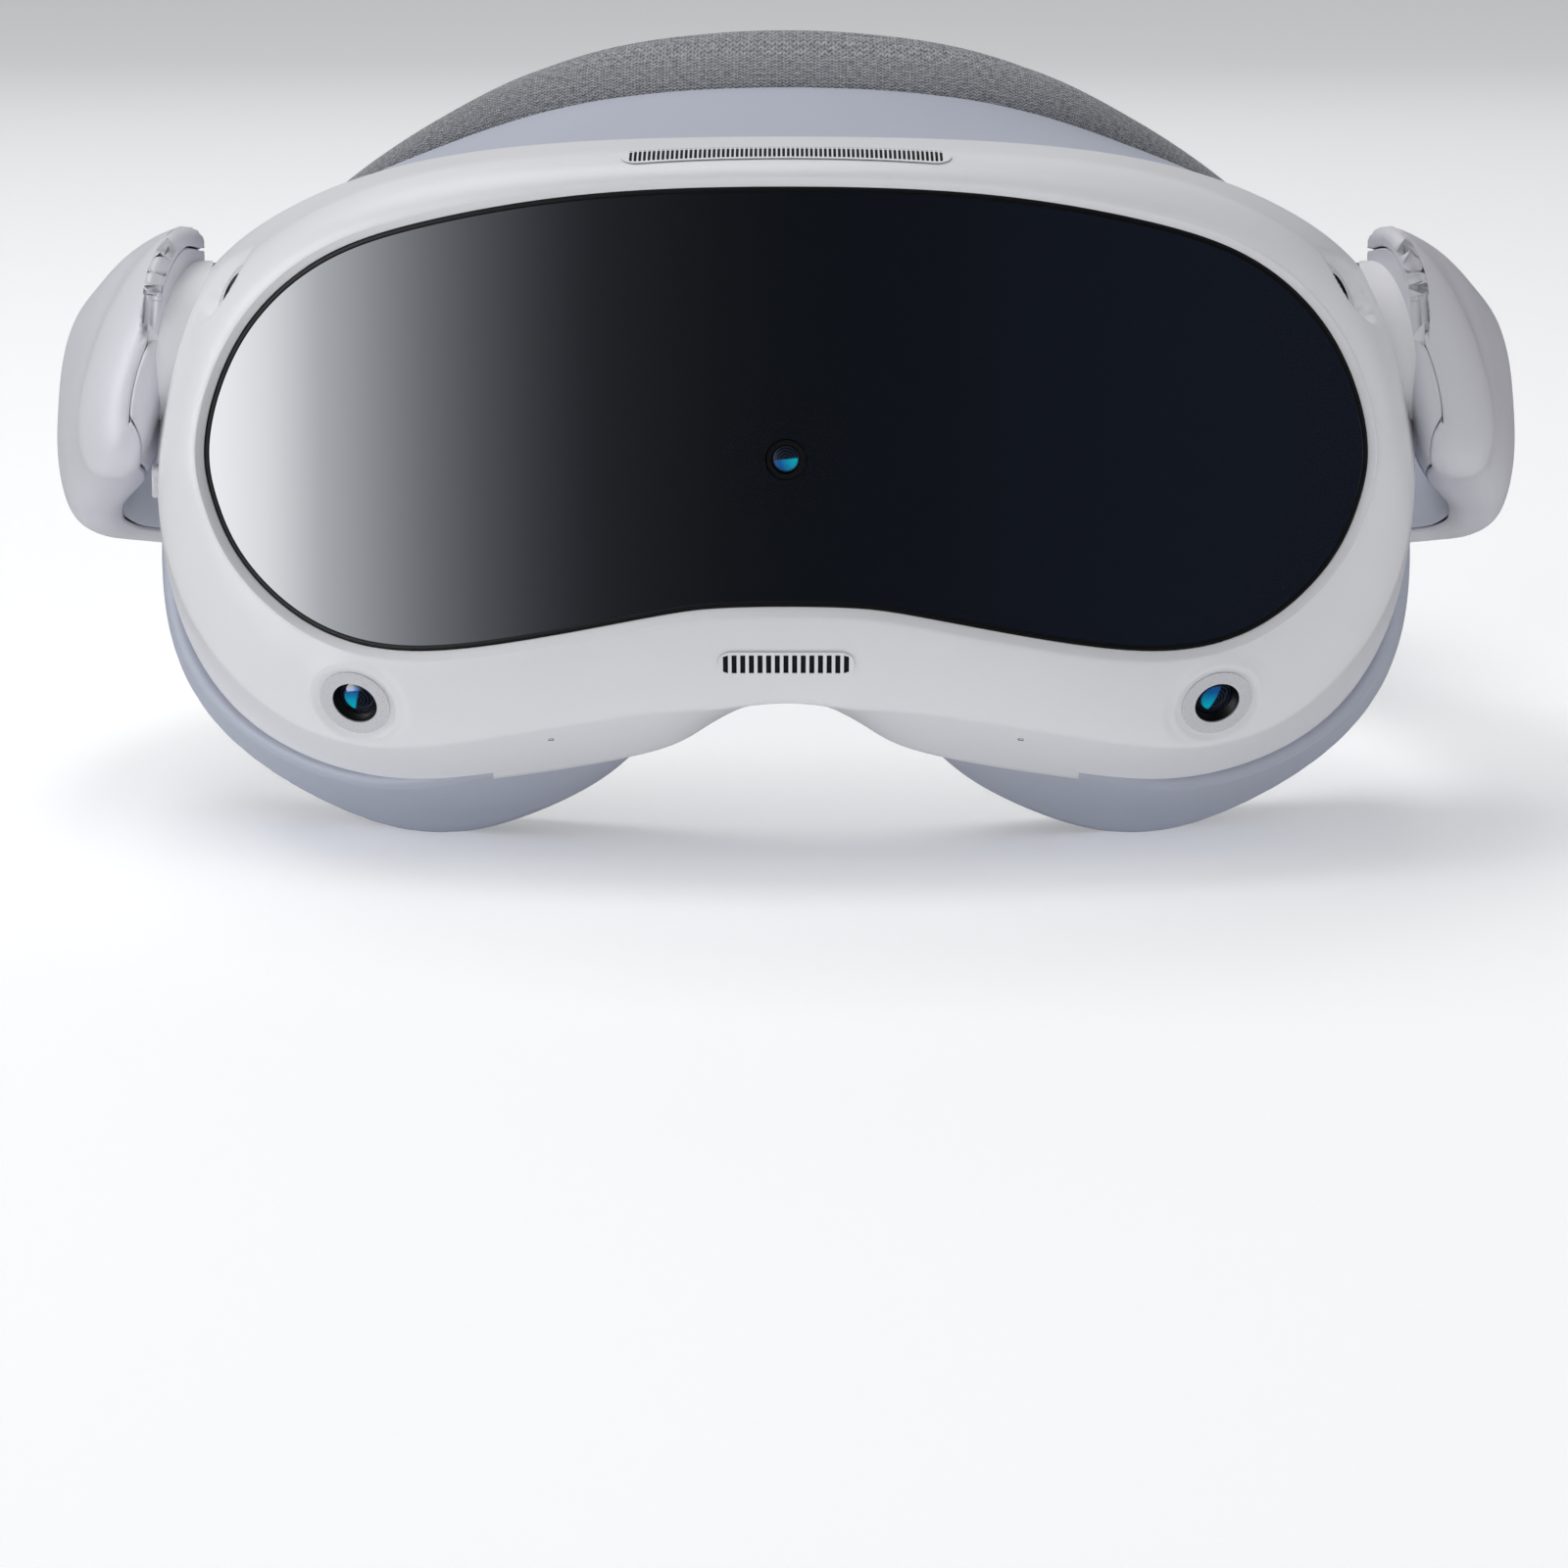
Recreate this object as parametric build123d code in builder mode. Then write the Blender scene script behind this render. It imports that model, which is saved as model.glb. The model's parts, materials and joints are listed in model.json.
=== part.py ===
"""Head-worn VR headset: visor, face gasket, hinged strap arms and a rear battery cup with a tightening dial.

The frame has +X to the viewer's right as the visor faces the viewer, +Y from the visor back to the
battery cup, and +Z up. The origin is on the rest surface, below the middle of the object's box. The
headset stands as it does on a table, on the two cheek lobes of its gasket and on the cup's flat base.
"left" is the viewer's left, at -X.
"""

import math
import os

from build123d import *

os.makedirs("parts", exist_ok=True)

# ---------------------------------------------------------------- driving dimensions (mm)
OVERALL_DEPTH = 270.0  # bezel lip to dial face, strap fully tightened
LIP = 1.6  # how far the bezel's rim stands proud of the visor
FRONT_Y = LIP - OVERALL_DEPTH / 2  # the visor's middle
VISOR_R = 230.0  # the visor is part of an upright cylinder
AXIS_Y = FRONT_Y + VISOR_R

WALL = 2.4  # front shell
SEAT = 2.1  # the visor's ledge, below the visor's face
LEDGE = 1.5  # thickness of that ledge
LEDGE_WIDTH = 2.5
BEZEL_DEPTH = 25.0  # visor face to the bezel's rear edge, measured towards the cylinder's axis
BEVEL_WIDE = 5.0  # bevel round the bezel's front edge, across its face
BEVEL_DEEP = 8.5  # and along its side
BACK_WALL = 2.6  # rear housing
SNUG = 0.15  # gap between shells that are screwed together

# Half outlines seen from the front, as (x, z), from the top middle to the bottom middle
VISOR = [
    (0, 109), (29.5, 107.7), (59.2, 101.8), (74.5, 94.6), (84.7, 82.2), (88.8, 69.9), (87.5, 57.8),
    (81.3, 47.6), (69.1, 39.5), (56.9, 37.8), (35.8, 40.9), (15, 45), (0, 45.8),
]
SHELL_FRONT = [
    (0, 115.2), (30, 114), (53.7, 110.1), (71.7, 101.1), (85.3, 87.2), (90.3, 71.2), (93.6, 58.1),
    (85.7, 43.3), (73.5, 32.4), (61.2, 29.6), (44.3, 30.7), (22.5, 33.1), (10.5, 32.3), (0, 30.1),
]
SHELL_REAR = [
    (0, 116), (30, 115.5), (57.3, 111.5), (78.7, 103.6), (94.2, 89.3), (100.1, 68.8), (100.4, 52.6),
    (97.3, 33.4), (86.7, 15.6), (66.8, 3.9), (47.2, 1.2), (19.6, 5), (13.3, 15.2), (0, 29),
]
GASKET_FRONT = [
    (0, 114.6), (30, 113.4), (55.5, 109.5), (74.5, 101), (88.5, 87.5), (95, 69), (95.6, 53),
    (91.8, 36.5), (80.5, 21.8), (64.3, 14.8), (46, 15.6), (23, 21), (13, 27), (0, 31.5),
]
GASKET_LOBES = [
    (0, 123.2), (30, 119.6), (56, 110.2), (75, 100.3), (89, 85.5), (97, 68), (99.9, 50),
    (98.4, 30.5), (88.5, 14.5), (71, 3.5), (53, 0.1), (33.5, 6), (20, 19), (0, 34.5),
]
GASKET_BACK = [
    (0, 132), (28, 128), (52, 117), (72, 104.5), (87, 88), (96, 69), (99.3, 50),
    (97.5, 31), (88, 15), (71, 4.4), (53, 1), (34, 8), (21, 22), (0, 38),
]
CUSHION_BROW = [
    (0, 129.9), (29, 126.4), (53, 117), (73, 103.2), (88.4, 86), (96.7, 68), (99.8, 50),
    (98.3, 30.6), (88.4, 14.6), (71, 3.7), (53, 0.3), (33.6, 6.2), (20.1, 19.3), (0, 35),
]
SHELL_FRONT_AT = -3.0  # depths of those outlines behind the visor's middle
SHELL_REAR_AT = 52.0
GASKET_FRONT_AT = 25.0
GASKET_LOBES_AT = 52.0
GASKET_BACK_AT = 92.0
CUSHION_FRONT_AT = 40.0
CUSHION_BROW_AT = 56.0

# Cameras
CENTER_CAMERA_Z = 68.1
LOWER_CAMERA = (65.8, 11.6, 29.1)  # x, depth, z of the lens on the bezel's face
LOWER_DOWN = 25.0  # degrees below level
LOWER_OUT = 17.0  # degrees outwards
UPPER_CAMERA = (84.7, 25.0, 90.9)
UPPER_DOWN = -28.0
UPPER_OUT = 67.0
POD_R = 7.2
TRIM_R = 5.8
UPPER_SCALE = 0.78  # the upper cameras' pods are smaller

# Optics
EYE_Z = 69.5
EYE_X = 33.5  # half of a middling eye distance
LENS_R = 20.5
BARREL_R = 22.5
BARREL_FRONT = 18.0
BARREL_REAR = 39.0
EYE_TRAVEL = 2.5

# Gasket
GASKET_WALL = 2.2
RIM_R = 190.0  # the gasket's rear rim wraps the face along an upright cylinder
RIM_FRONT = 46.0
CUSHION_DEEP = 14.0
CUSHION_WIDE = 15.0

# Strap
HINGE_AT = 48.0
HINGE_Z = 80.5
HINGE_FACE_X = 100.0
BOSS_R = 12.6
PIN_R = 6.0
RUNNING = 0.05
ARM_WALL = 1.8
BAND_X = 92.0
BAND_Z = 43.5
BAND_THICK = 2.4
BAND_TALL = 21.0
BAND_FRONT = 164.0
BAND_REAR = 216.0

# Rear cup
CUP_TALL = 72.0
CUP_WALL = 2.0
DIAL_Z = 38.0
DIAL_R = 17.0
TOOTH_MODULE = 1.25
PINION_TEETH = 12
PINION_R = TOOTH_MODULE * PINION_TEETH / 2
RACK_AT = 253.5


# ---------------------------------------------------------------- shared geometry
def upright(depth):
    """Plane facing the viewer at a depth behind the visor's middle, with local y up."""
    return Plane(origin=(0, FRONT_Y + depth, 0), x_dir=(1, 0, 0), z_dir=(0, -1, 0))


def sideways(x):
    """Plane facing +X, with local x along +Y and local y up."""
    return Plane(origin=(x, 0, 0), x_dir=(0, 1, 0), z_dir=(1, 0, 0))


def whole(half):
    """Closed list of points from a half outline that starts and ends on the middle plane."""
    return half + [(-x, z) for x, z in reversed(half[1:-1])]


def inset(half, gap):
    """Half outline moved inwards by gap, square to the curve at each point."""
    around = whole(half)
    moved = []
    for index in range(len(half)):
        ahead = around[(index + 1) % len(around)]
        behind = around[index - 1]
        run = math.dist(ahead, behind)
        x, z = half[index]
        moved.append((x + gap * (ahead[1] - behind[1]) / run, z - gap * (ahead[0] - behind[0]) / run))
    moved[0] = (0, moved[0][1])
    moved[-1] = (0, moved[-1][1])
    return moved


def outline_face(half, depth):
    """Flat face inside a closed smooth outline, at a depth."""
    with BuildSketch(upright(depth)) as face:
        with BuildLine():
            Spline(*whole(half), periodic=True)
        make_face()
    return face.sketch


def loft_between(front_half, front_at, rear_half, rear_at):
    loft([outline_face(front_half, front_at), outline_face(rear_half, rear_at)])


def extrude_back(half, front_at, length):
    extrude(outline_face(half, front_at), amount=-length)


def cylinder_slab(outer_r, inner_r=0, mode=Mode.INTERSECT):
    """Upright slab between two radii about the visor's axis."""
    with BuildSketch(Plane.XY.offset(-20)) as ring:
        with Locations((0, AXIS_Y)):
            Circle(outer_r)
            if inner_r:
                Circle(inner_r, mode=Mode.SUBTRACT)
    extrude(ring.sketch, amount=180, mode=mode)


def finish(part, name):
    part.label = name
    export_step(part, f"parts/{name}.step")


def box_at(low, high, mode=Mode.ADD):
    """Box in the active part between two corners, each (x, depth, z)."""
    size = [high[axis] - low[axis] for axis in range(3)]
    middle = [(high[axis] + low[axis]) / 2 for axis in range(3)]
    with Locations((middle[0], FRONT_Y + middle[1], middle[2])):
        Box(*size, mode=mode)


def disc_at(x, z, front_at, rear_at, outer_r, inner_r=0, mode=Mode.ADD):
    """Disc or ring in the active part, with its axis along Y."""
    with BuildSketch(upright(front_at)) as ring:
        with Locations((x, z)):
            Circle(outer_r)
            if inner_r:
                Circle(inner_r, mode=Mode.SUBTRACT)
    extrude(ring.sketch, amount=front_at - rear_at, mode=mode)


def mirrored(part):
    """The same piece on the other side."""
    with BuildPart() as other:
        mirror(part, about=Plane.YZ)
    return other.part


# ---------------------------------------------------------------- front shell
def shell_form(gap, outer_r, inner_r):
    """The front shell's form shrunk by gap, between two radii, with its front edge bevelled."""
    with BuildPart() as form:
        loft_between(inset(SHELL_FRONT, gap), SHELL_FRONT_AT, inset(SHELL_REAR, gap), SHELL_REAR_AT)
        cylinder_slab(outer_r, inner_r)
        face = form.faces().filter_by(GeomType.CYLINDER).sort_by(Axis.Y)[0]
        chamfer(face.edges(), BEVEL_WIDE, BEVEL_DEEP, reference=face)
    return form.part


def camera_plane(place, down, out, side):
    """Plane on a camera's lens, facing where the camera looks."""
    level = math.cos(math.radians(down))
    look = (
        side * math.sin(math.radians(out)) * level,
        -math.cos(math.radians(out)) * level,
        -math.sin(math.radians(down)),
    )
    return Plane(origin=(side * place[0], FRONT_Y + place[1], place[2]), z_dir=look)


CAMERAS = {}
for side, side_name in ((-1, "left"), (1, "right")):
    CAMERAS[f"camera_lower_{side_name}"] = (camera_plane(LOWER_CAMERA, LOWER_DOWN, LOWER_OUT, side), 1.0)
    CAMERAS[f"camera_upper_{side_name}"] = (camera_plane(UPPER_CAMERA, UPPER_DOWN, UPPER_OUT, side), UPPER_SCALE)


def round_at(plane, low, high, outer_r, inner_r=0, mode=Mode.ADD, taper=0):
    """Disc or ring in the active part on a camera's plane, from low to high along its view."""
    with BuildSketch(plane.offset(low)) as ring:
        Circle(outer_r)
        if inner_r:
            Circle(inner_r, mode=Mode.SUBTRACT)
    extrude(ring.sketch, amount=high - low, taper=taper, mode=mode)


def vent_sketch(plane, length, tall):
    with BuildSketch(plane) as pill:
        SlotOverall(length, tall)
    return pill.sketch


TOP_VENT = Plane(origin=(0, FRONT_Y + 3.9, 113.3), x_dir=(1, 0, 0), z_dir=(0, -BEVEL_WIDE, BEVEL_DEEP))
BOTTOM_VENT = Plane(origin=(0, FRONT_Y, 37.4), x_dir=(1, 0, 0), z_dir=(0, -1, 0))

VENTS = {"top_vent_grille": (TOP_VENT, 49.6, 2.8), "bottom_vent_grille": (BOTTOM_VENT, 21.4, 4.4)}
VENT_BARS = {"top_vent_grille": (68, 0.69, 0.4, 1.7), "bottom_vent_grille": (14, 1.33, 0.8, 3.1)}
BUTTON_LEAN = math.radians(7)  # the side wall flares backwards
BUTTON_PLANE = Plane(
    origin=(-99.2, FRONT_Y + 39, 59.3),
    x_dir=(-math.sin(BUTTON_LEAN), math.cos(BUTTON_LEAN), 0),
    z_dir=(-math.cos(BUTTON_LEAN), -math.sin(BUTTON_LEAN), 0),
)
BUTTON_LONG = 10.0
BUTTON_TALL = 5.0
BUTTON_GAP = 0.15
MICROPHONE = (35.6, 13.0)

with BuildPart() as visor_pocket:
    extrude_back(VISOR, -5, 60)
    cylinder_slab(VISOR_R - SEAT, mode=Mode.SUBTRACT)

with BuildPart() as front_bezel:
    add(shell_form(0, VISOR_R + LIP, VISOR_R - BEZEL_DEPTH))
    add(shell_form(WALL, VISOR_R - SEAT - LEDGE, VISOR_R - BEZEL_DEPTH - 1), mode=Mode.SUBTRACT)
    extrude(outline_face(inset(VISOR, LEDGE_WIDTH), -5), amount=-60, mode=Mode.SUBTRACT)
    add(visor_pocket.part, mode=Mode.SUBTRACT)
    for plane, scale in CAMERAS.values():
        round_at(plane, -6, 0.8, POD_R * scale + 0.6, taper=4)
    for plane, scale in CAMERAS.values():
        round_at(plane, -20, 5, TRIM_R * scale, mode=Mode.SUBTRACT)
    for plane, length, tall in VENTS.values():
        extrude(vent_sketch(plane, length, tall), amount=6, both=True, mode=Mode.SUBTRACT)
    with BuildSketch(BUTTON_PLANE) as button_hole:
        SlotOverall(BUTTON_LONG, BUTTON_TALL)
    extrude(button_hole.sketch, amount=5, both=True, mode=Mode.SUBTRACT)
    for side in (-1, 1):
        with BuildSketch(Plane.XY) as microphone_hole:
            with Locations((side * MICROPHONE[0], FRONT_Y + MICROPHONE[1])):
                Circle(0.5)
        extrude(microphone_hole.sketch, amount=30, mode=Mode.SUBTRACT)
finish(front_bezel.part, "front_bezel")

with BuildPart() as skin:
    add(shell_form(0.1, VISOR_R + LIP - 0.1, VISOR_R - BEZEL_DEPTH))
    add(shell_form(1.7, VISOR_R + LIP - 1.7, VISOR_R - BEZEL_DEPTH - 1), mode=Mode.SUBTRACT)

for name, (plane, length, tall) in VENTS.items():
    count, pitch, bar_gap, slot_tall = VENT_BARS[name]
    with BuildPart() as grille:
        extrude(vent_sketch(plane, length - 0.1, tall - 0.1), amount=6, both=True)
        add(skin.part, mode=Mode.INTERSECT)
        with BuildSketch(plane) as slots:
            with GridLocations(pitch, 1, count, 1):
                Rectangle(bar_gap, slot_tall)
        extrude(slots.sketch, amount=8, both=True, mode=Mode.SUBTRACT)
    finish(grille.part, name)

with BuildPart() as visor_panel:
    extrude_back(inset(VISOR, SNUG), -5, 60)
    cylinder_slab(VISOR_R, VISOR_R - SEAT + 0.05)
    disc_at(0, CENTER_CAMERA_Z, -5, 10, 3.1, mode=Mode.SUBTRACT)
finish(visor_panel.part, "visor_panel")

with BuildPart() as center_camera_barrel:
    disc_at(0, CENTER_CAMERA_Z, -0.1, 7.5, 3.0, 2.25)
    disc_at(0, CENTER_CAMERA_Z, 7.5, 8.5, 4.0)
finish(center_camera_barrel.part, "center_camera_barrel")

with BuildPart() as center_camera_lens:
    disc_at(0, CENTER_CAMERA_Z, 0.9, 5.0, 2.2)
    fillet(center_camera_lens.faces().sort_by(Axis.Y)[0].edges(), 0.8)
finish(center_camera_lens.part, "center_camera_lens")

# Tracking cameras in the bezel: a trim ring, a domed lens and the camera module behind them
LENS_TRIM_R = 3.6
with BuildPart() as tracking_camera_trims:
    for plane, scale in CAMERAS.values():
        round_at(plane, -2.2, 0.4, TRIM_R * scale - SNUG, LENS_TRIM_R * scale)
finish(tracking_camera_trims.part, "tracking_camera_trims")

with BuildPart() as tracking_camera_lenses:
    for plane, scale in CAMERAS.values():
        lens_r = (LENS_TRIM_R - 0.1) * scale
        round_at(plane, -2.2, -1.0, lens_r)
        round_at(plane, -1.0, 0.0, lens_r, taper=38)
finish(tracking_camera_lenses.part, "tracking_camera_lenses")

for name, (plane, scale) in CAMERAS.items():
    with BuildPart() as camera:
        round_at(plane, -8, -2.3, (TRIM_R - 0.8) * scale)
        with BuildSketch(plane.offset(-9.2)) as board:
            Rectangle(11 * scale, 11 * scale)
        extrude(board.sketch, amount=1.2)
    finish(camera.part, name)

LENS_OPENING_R = BARREL_R + 1.1
with BuildPart() as rear_housing:
    loft_between(
        inset(SHELL_FRONT, WALL + SNUG), SHELL_FRONT_AT, inset(SHELL_REAR, WALL + SNUG), SHELL_REAR_AT
    )
    cylinder_slab(VISOR_R - BEZEL_DEPTH + BACK_WALL, VISOR_R - BEZEL_DEPTH)
    for side in (-1, 1):
        with BuildSketch(upright(0)) as opening:
            with Locations((side * EYE_X, EYE_Z)):
                SlotOverall(2 * (LENS_OPENING_R + EYE_TRAVEL), 2 * LENS_OPENING_R)
        extrude(opening.sketch, amount=-60, mode=Mode.SUBTRACT)
    with BuildSketch(upright(0)) as sensor_window:
        with Locations((0, 93)):
            SlotOverall(9, 4.4)
    extrude(sensor_window.sketch, amount=-60, mode=Mode.SUBTRACT)
finish(rear_housing.part, "rear_housing")

with BuildPart() as proximity_sensor:
    with BuildSketch(upright(18)) as sensor_body:
        with Locations((0, 93)):
            SlotOverall(8.8, 4.2)
    extrude(sensor_body.sketch, amount=-6.6)
finish(proximity_sensor.part, "proximity_sensor")

# ---------------------------------------------------------------- inside the front shell
BOARD_AT = 12.5
BOARD_THICK = 1.2
FAN_X = 24.0
FAN_Z = 84.0
FAN_R = 14.5
FAN_FRONT = 7.4
FAN_REAR = 12.2
FAN_BLADES = 9

with BuildPart() as main_board:
    box_at((-56, BOARD_AT, 47), (56, BOARD_AT + BOARD_THICK, 98))
    fillet(main_board.edges().filter_by(Axis.Y), 6)
    disc_at(0, EYE_Z, BOARD_AT - 1, BOARD_AT + 3, 1.6, mode=Mode.SUBTRACT)
    for x, z, wide, tall in ((38, 58, 12, 12), (-38, 58, 14, 10), (-14, 56, 8, 6), (14, 56, 8, 6)):
        box_at((x - wide / 2, BOARD_AT - 1.1, z - tall / 2), (x + wide / 2, BOARD_AT, z + tall / 2))
finish(main_board.part, "main_board")

with BuildPart() as board_shield:
    box_at((-45, BOARD_AT - 0.9, 72), (-13, BOARD_AT, 96))
    box_at((-44.7, BOARD_AT - 0.6, 72.3), (-13.3, BOARD_AT, 95.7), mode=Mode.SUBTRACT)
finish(board_shield.part, "board_shield")

with BuildPart() as heat_sink:
    box_at((-43, BOARD_AT - 1.7, 73), (-14, BOARD_AT - 0.9, 95))
    for fin in range(11):
        x = -42 + fin * 2.6
        box_at((x, BOARD_AT - 4.2, 73), (x + 0.8, BOARD_AT - 1.7, 95))
finish(heat_sink.part, "heat_sink")

with BuildPart() as fan_housing:
    disc_at(FAN_X, FAN_Z, FAN_FRONT, FAN_REAR, FAN_R, FAN_R - 0.8)
    disc_at(FAN_X, FAN_Z, FAN_REAR - 0.7, FAN_REAR, FAN_R)
    disc_at(FAN_X, FAN_Z, FAN_FRONT + 0.2, FAN_REAR, 1.5)
finish(fan_housing.part, "fan_housing")

with BuildPart() as fan_rotor:
    disc_at(FAN_X, FAN_Z, FAN_FRONT + 0.3, FAN_REAR - 1.0, 4.5, 1.5 + RUNNING)
    with BuildSketch(upright(FAN_FRONT + 0.6)) as blades:
        with Locations((FAN_X, FAN_Z)):
            with PolarLocations(0, FAN_BLADES):
                with Locations((8.2, 0)):
                    Rectangle(9.4, 0.9, rotation=12)
    extrude(blades.sketch, amount=FAN_FRONT + 0.6 - (FAN_REAR - 1.2))
    disc_at(FAN_X, FAN_Z, FAN_FRONT, FAN_REAR, 1.5 + RUNNING, mode=Mode.SUBTRACT)
finish(fan_rotor.part, "fan_rotor")

with BuildPart() as microphones:
    for side in (-1, 1):
        x = side * MICROPHONE[0]
        box_at((x - 2, MICROPHONE[1] - 2, 29.4), (x + 2, MICROPHONE[1] + 2, 30.8))
finish(microphones.part, "microphones")

# Power button in the left side wall, and the switch that it presses
with BuildPart() as power_button:
    with BuildSketch(BUTTON_PLANE.offset(-4.1)) as cap:
        SlotOverall(BUTTON_LONG - 2 * BUTTON_GAP, BUTTON_TALL - 2 * BUTTON_GAP)
    extrude(cap.sketch, amount=4.7)
    fillet(power_button.faces().sort_by(Axis.X)[0].edges(), 0.4)
    with BuildSketch(BUTTON_PLANE.offset(-4.9)) as flange:
        Rectangle(BUTTON_LONG + 0.8, BUTTON_TALL + 1.6)
    extrude(flange.sketch, amount=0.8)
finish(power_button.part, "power_button")

with BuildPart() as power_switch:
    with BuildSketch(BUTTON_PLANE.offset(-8.3)) as switch_body:
        Rectangle(6, 5)
    extrude(switch_body.sketch, amount=2.6)
finish(power_switch.part, "power_switch")

# ---------------------------------------------------------------- optics, on two carriages
ROD_R = 1.2
ROD_AT = 20.6
ROD_DZ = 27.0
CARRIAGE_FRONT = 17.6
CARRIAGE_REAR = 18.8
EYE_MODULE = 0.6
EYE_TEETH = 14
EYE_PITCH_R = EYE_MODULE * EYE_TEETH / 2
EYE_GEAR_FRONT = 19.3
EYE_GEAR_REAR = 21.5
EYE_RACK_START = {-1: -5.2, 1: -3.2}  # first end of each carriage's toothed bar, in teeth
BACKLASH = 0.18  # share of a tooth's width left open


def gear_profile(module, teeth, bore_r):
    """Straight-flanked gear with a bore, one tooth pointing along local x."""
    pitch_r = module * teeth / 2
    step = 2 * math.pi / teeth
    outline = []
    for tooth in range(teeth):
        middle = tooth * step
        for radius, share in (
            (pitch_r - 1.2 * module, -0.42),
            (pitch_r + 0.8 * module, -0.13),
            (pitch_r + 0.8 * module, 0.13),
            (pitch_r - 1.2 * module, 0.42),
        ):
            angle = middle + share * step * (1 - BACKLASH)
            outline.append((radius * math.cos(angle), radius * math.sin(angle)))
    Polygon(*outline, align=None)
    Circle(bore_r, mode=Mode.SUBTRACT)


def rack_profile(module, start, count, height, phase, up):
    """Toothed bar along local x whose pitch line is local y = 0, with its back on the side up."""
    pitch = math.pi * module
    outline = [(start * pitch, up * height)]
    outline.append((start * pitch, up * 1.2 * module))
    for tooth in range(count):
        middle = (math.ceil(start) + tooth + 0.5 + phase) * pitch
        for offset, depth in ((-0.42, 1.2), (-0.13, -0.8), (0.13, -0.8), (0.42, 1.2)):
            outline.append((middle + offset * pitch * (1 - BACKLASH), up * depth * module))
    outline.append(((start + count + 1) * pitch, up * 1.2 * module))
    outline.append(((start + count + 1) * pitch, up * height))
    Polygon(*outline, align=None)


for side, side_name in ((-1, "left"), (1, "right")):
    x = side * EYE_X
    with BuildPart() as display:
        box_at((x - 21, 15.2, EYE_Z - 21), (x + 21, 16.6, EYE_Z + 21))
        fillet(display.edges().filter_by(Axis.Y), 3)
    finish(display.part, f"display_{side_name}")
    with BuildPart() as lens_barrel:
        disc_at(x, EYE_Z, 16.6, BARREL_REAR, BARREL_R, LENS_R + 0.05)
        chamfer(lens_barrel.faces().sort_by(Axis.Y)[-1].edges(), 0.6)
    finish(lens_barrel.part, f"lens_barrel_{side_name}")
    with BuildPart() as eye_lens:
        disc_at(x, EYE_Z, 27, 37.5, LENS_R)
        fillet(eye_lens.faces().sort_by(Axis.Y)[-1].edges(), 3)
    finish(eye_lens.part, f"eye_lens_{side_name}")
    with BuildPart() as carriage:
        box_at((x - 24.5, CARRIAGE_FRONT, EYE_Z - 30), (x + 24.5, CARRIAGE_REAR, EYE_Z + 30))
        fillet(carriage.edges().filter_by(Axis.Y), 8)
        disc_at(x, EYE_Z, CARRIAGE_FRONT - 1, CARRIAGE_REAR + 1, BARREL_R, mode=Mode.SUBTRACT)
        for rod_side in (-1, 1):
            z = EYE_Z + rod_side * ROD_DZ
            box_at((x - 7, CARRIAGE_REAR, z - 2.6), (x + 7, ROD_AT + 1.7, z + 2.6))
        # toothed bar over the pinion on the left carriage, and under it on the right one
        with BuildSketch(upright(CARRIAGE_REAR)) as rack_face:
            with Locations((0, EYE_Z - side * EYE_PITCH_R)):
                rack_profile(EYE_MODULE, EYE_RACK_START[side], 7, 2.8, 0.5, -side)
        extrude(rack_face.sketch, amount=CARRIAGE_REAR - EYE_GEAR_REAR)
        for rod_side in (-1, 1):
            with BuildSketch(sideways(x - 30)) as rod_hole:
                with Locations((FRONT_Y + ROD_AT, EYE_Z + rod_side * ROD_DZ)):
                    Circle(ROD_R + RUNNING)
            extrude(rod_hole.sketch, amount=60, mode=Mode.SUBTRACT)
    finish(carriage.part, f"lens_carriage_{side_name}")

with BuildPart() as eye_motor:
    disc_at(0, EYE_Z, BOARD_AT + BOARD_THICK, CARRIAGE_REAR - 0.1, 5.0)
    disc_at(0, EYE_Z, CARRIAGE_REAR - 0.1, EYE_GEAR_REAR + 0.3, 1.0)
finish(eye_motor.part, "eye_motor")

with BuildPart() as eye_pinion:
    with BuildSketch(upright(EYE_GEAR_FRONT)) as pinion_face:
        with Locations((0, EYE_Z)):
            gear_profile(EYE_MODULE, EYE_TEETH, 1.0 + RUNNING)
    extrude(pinion_face.sketch, amount=EYE_GEAR_FRONT - EYE_GEAR_REAR)
finish(eye_pinion.part, "eye_pinion")

with BuildPart() as guide_rods:
    for rod_side in (-1, 1):
        with BuildSketch(sideways(-66)) as rod:
            with Locations((FRONT_Y + ROD_AT, EYE_Z + rod_side * ROD_DZ)):
                Circle(ROD_R)
        extrude(rod.sketch, amount=132)
finish(guide_rods.part, "guide_rods")

# ---------------------------------------------------------------- gasket
def gasket_loft(gap):
    """Closed form inside the gasket's outer wall, shrunk by gap."""
    loft(
        [
            outline_face(inset(GASKET_FRONT, gap), GASKET_FRONT_AT),
            outline_face(inset(GASKET_LOBES, gap), GASKET_LOBES_AT),
            outline_face(inset(GASKET_BACK, gap), GASKET_BACK_AT),
        ],
        ruled=True,
    )


def gasket_form(gap):
    with BuildPart() as form:
        gasket_loft(gap)
    return form.part


def rim_slab(outer_r, inner_r, mode):
    """Upright slab about the axis that the gasket's rear rim follows."""
    with BuildSketch(Plane.XY.offset(-20)) as ring:
        with Locations((0, FRONT_Y + RIM_FRONT + RIM_R)):
            Circle(outer_r)
            if inner_r:
                Circle(inner_r, mode=Mode.SUBTRACT)
    extrude(ring.sketch, amount=180, mode=mode)


with BuildPart() as gasket_frame:
    gasket_loft(0)
    add(gasket_form(GASKET_WALL), mode=Mode.SUBTRACT)
    cylinder_slab(VISOR_R - BEZEL_DEPTH - SNUG)
    rim_slab(RIM_R, 0, Mode.SUBTRACT)
finish(gasket_frame.part, "gasket_frame")

NOSE_HALF = 16.0
CUSHION_GAP = 0.3


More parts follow.
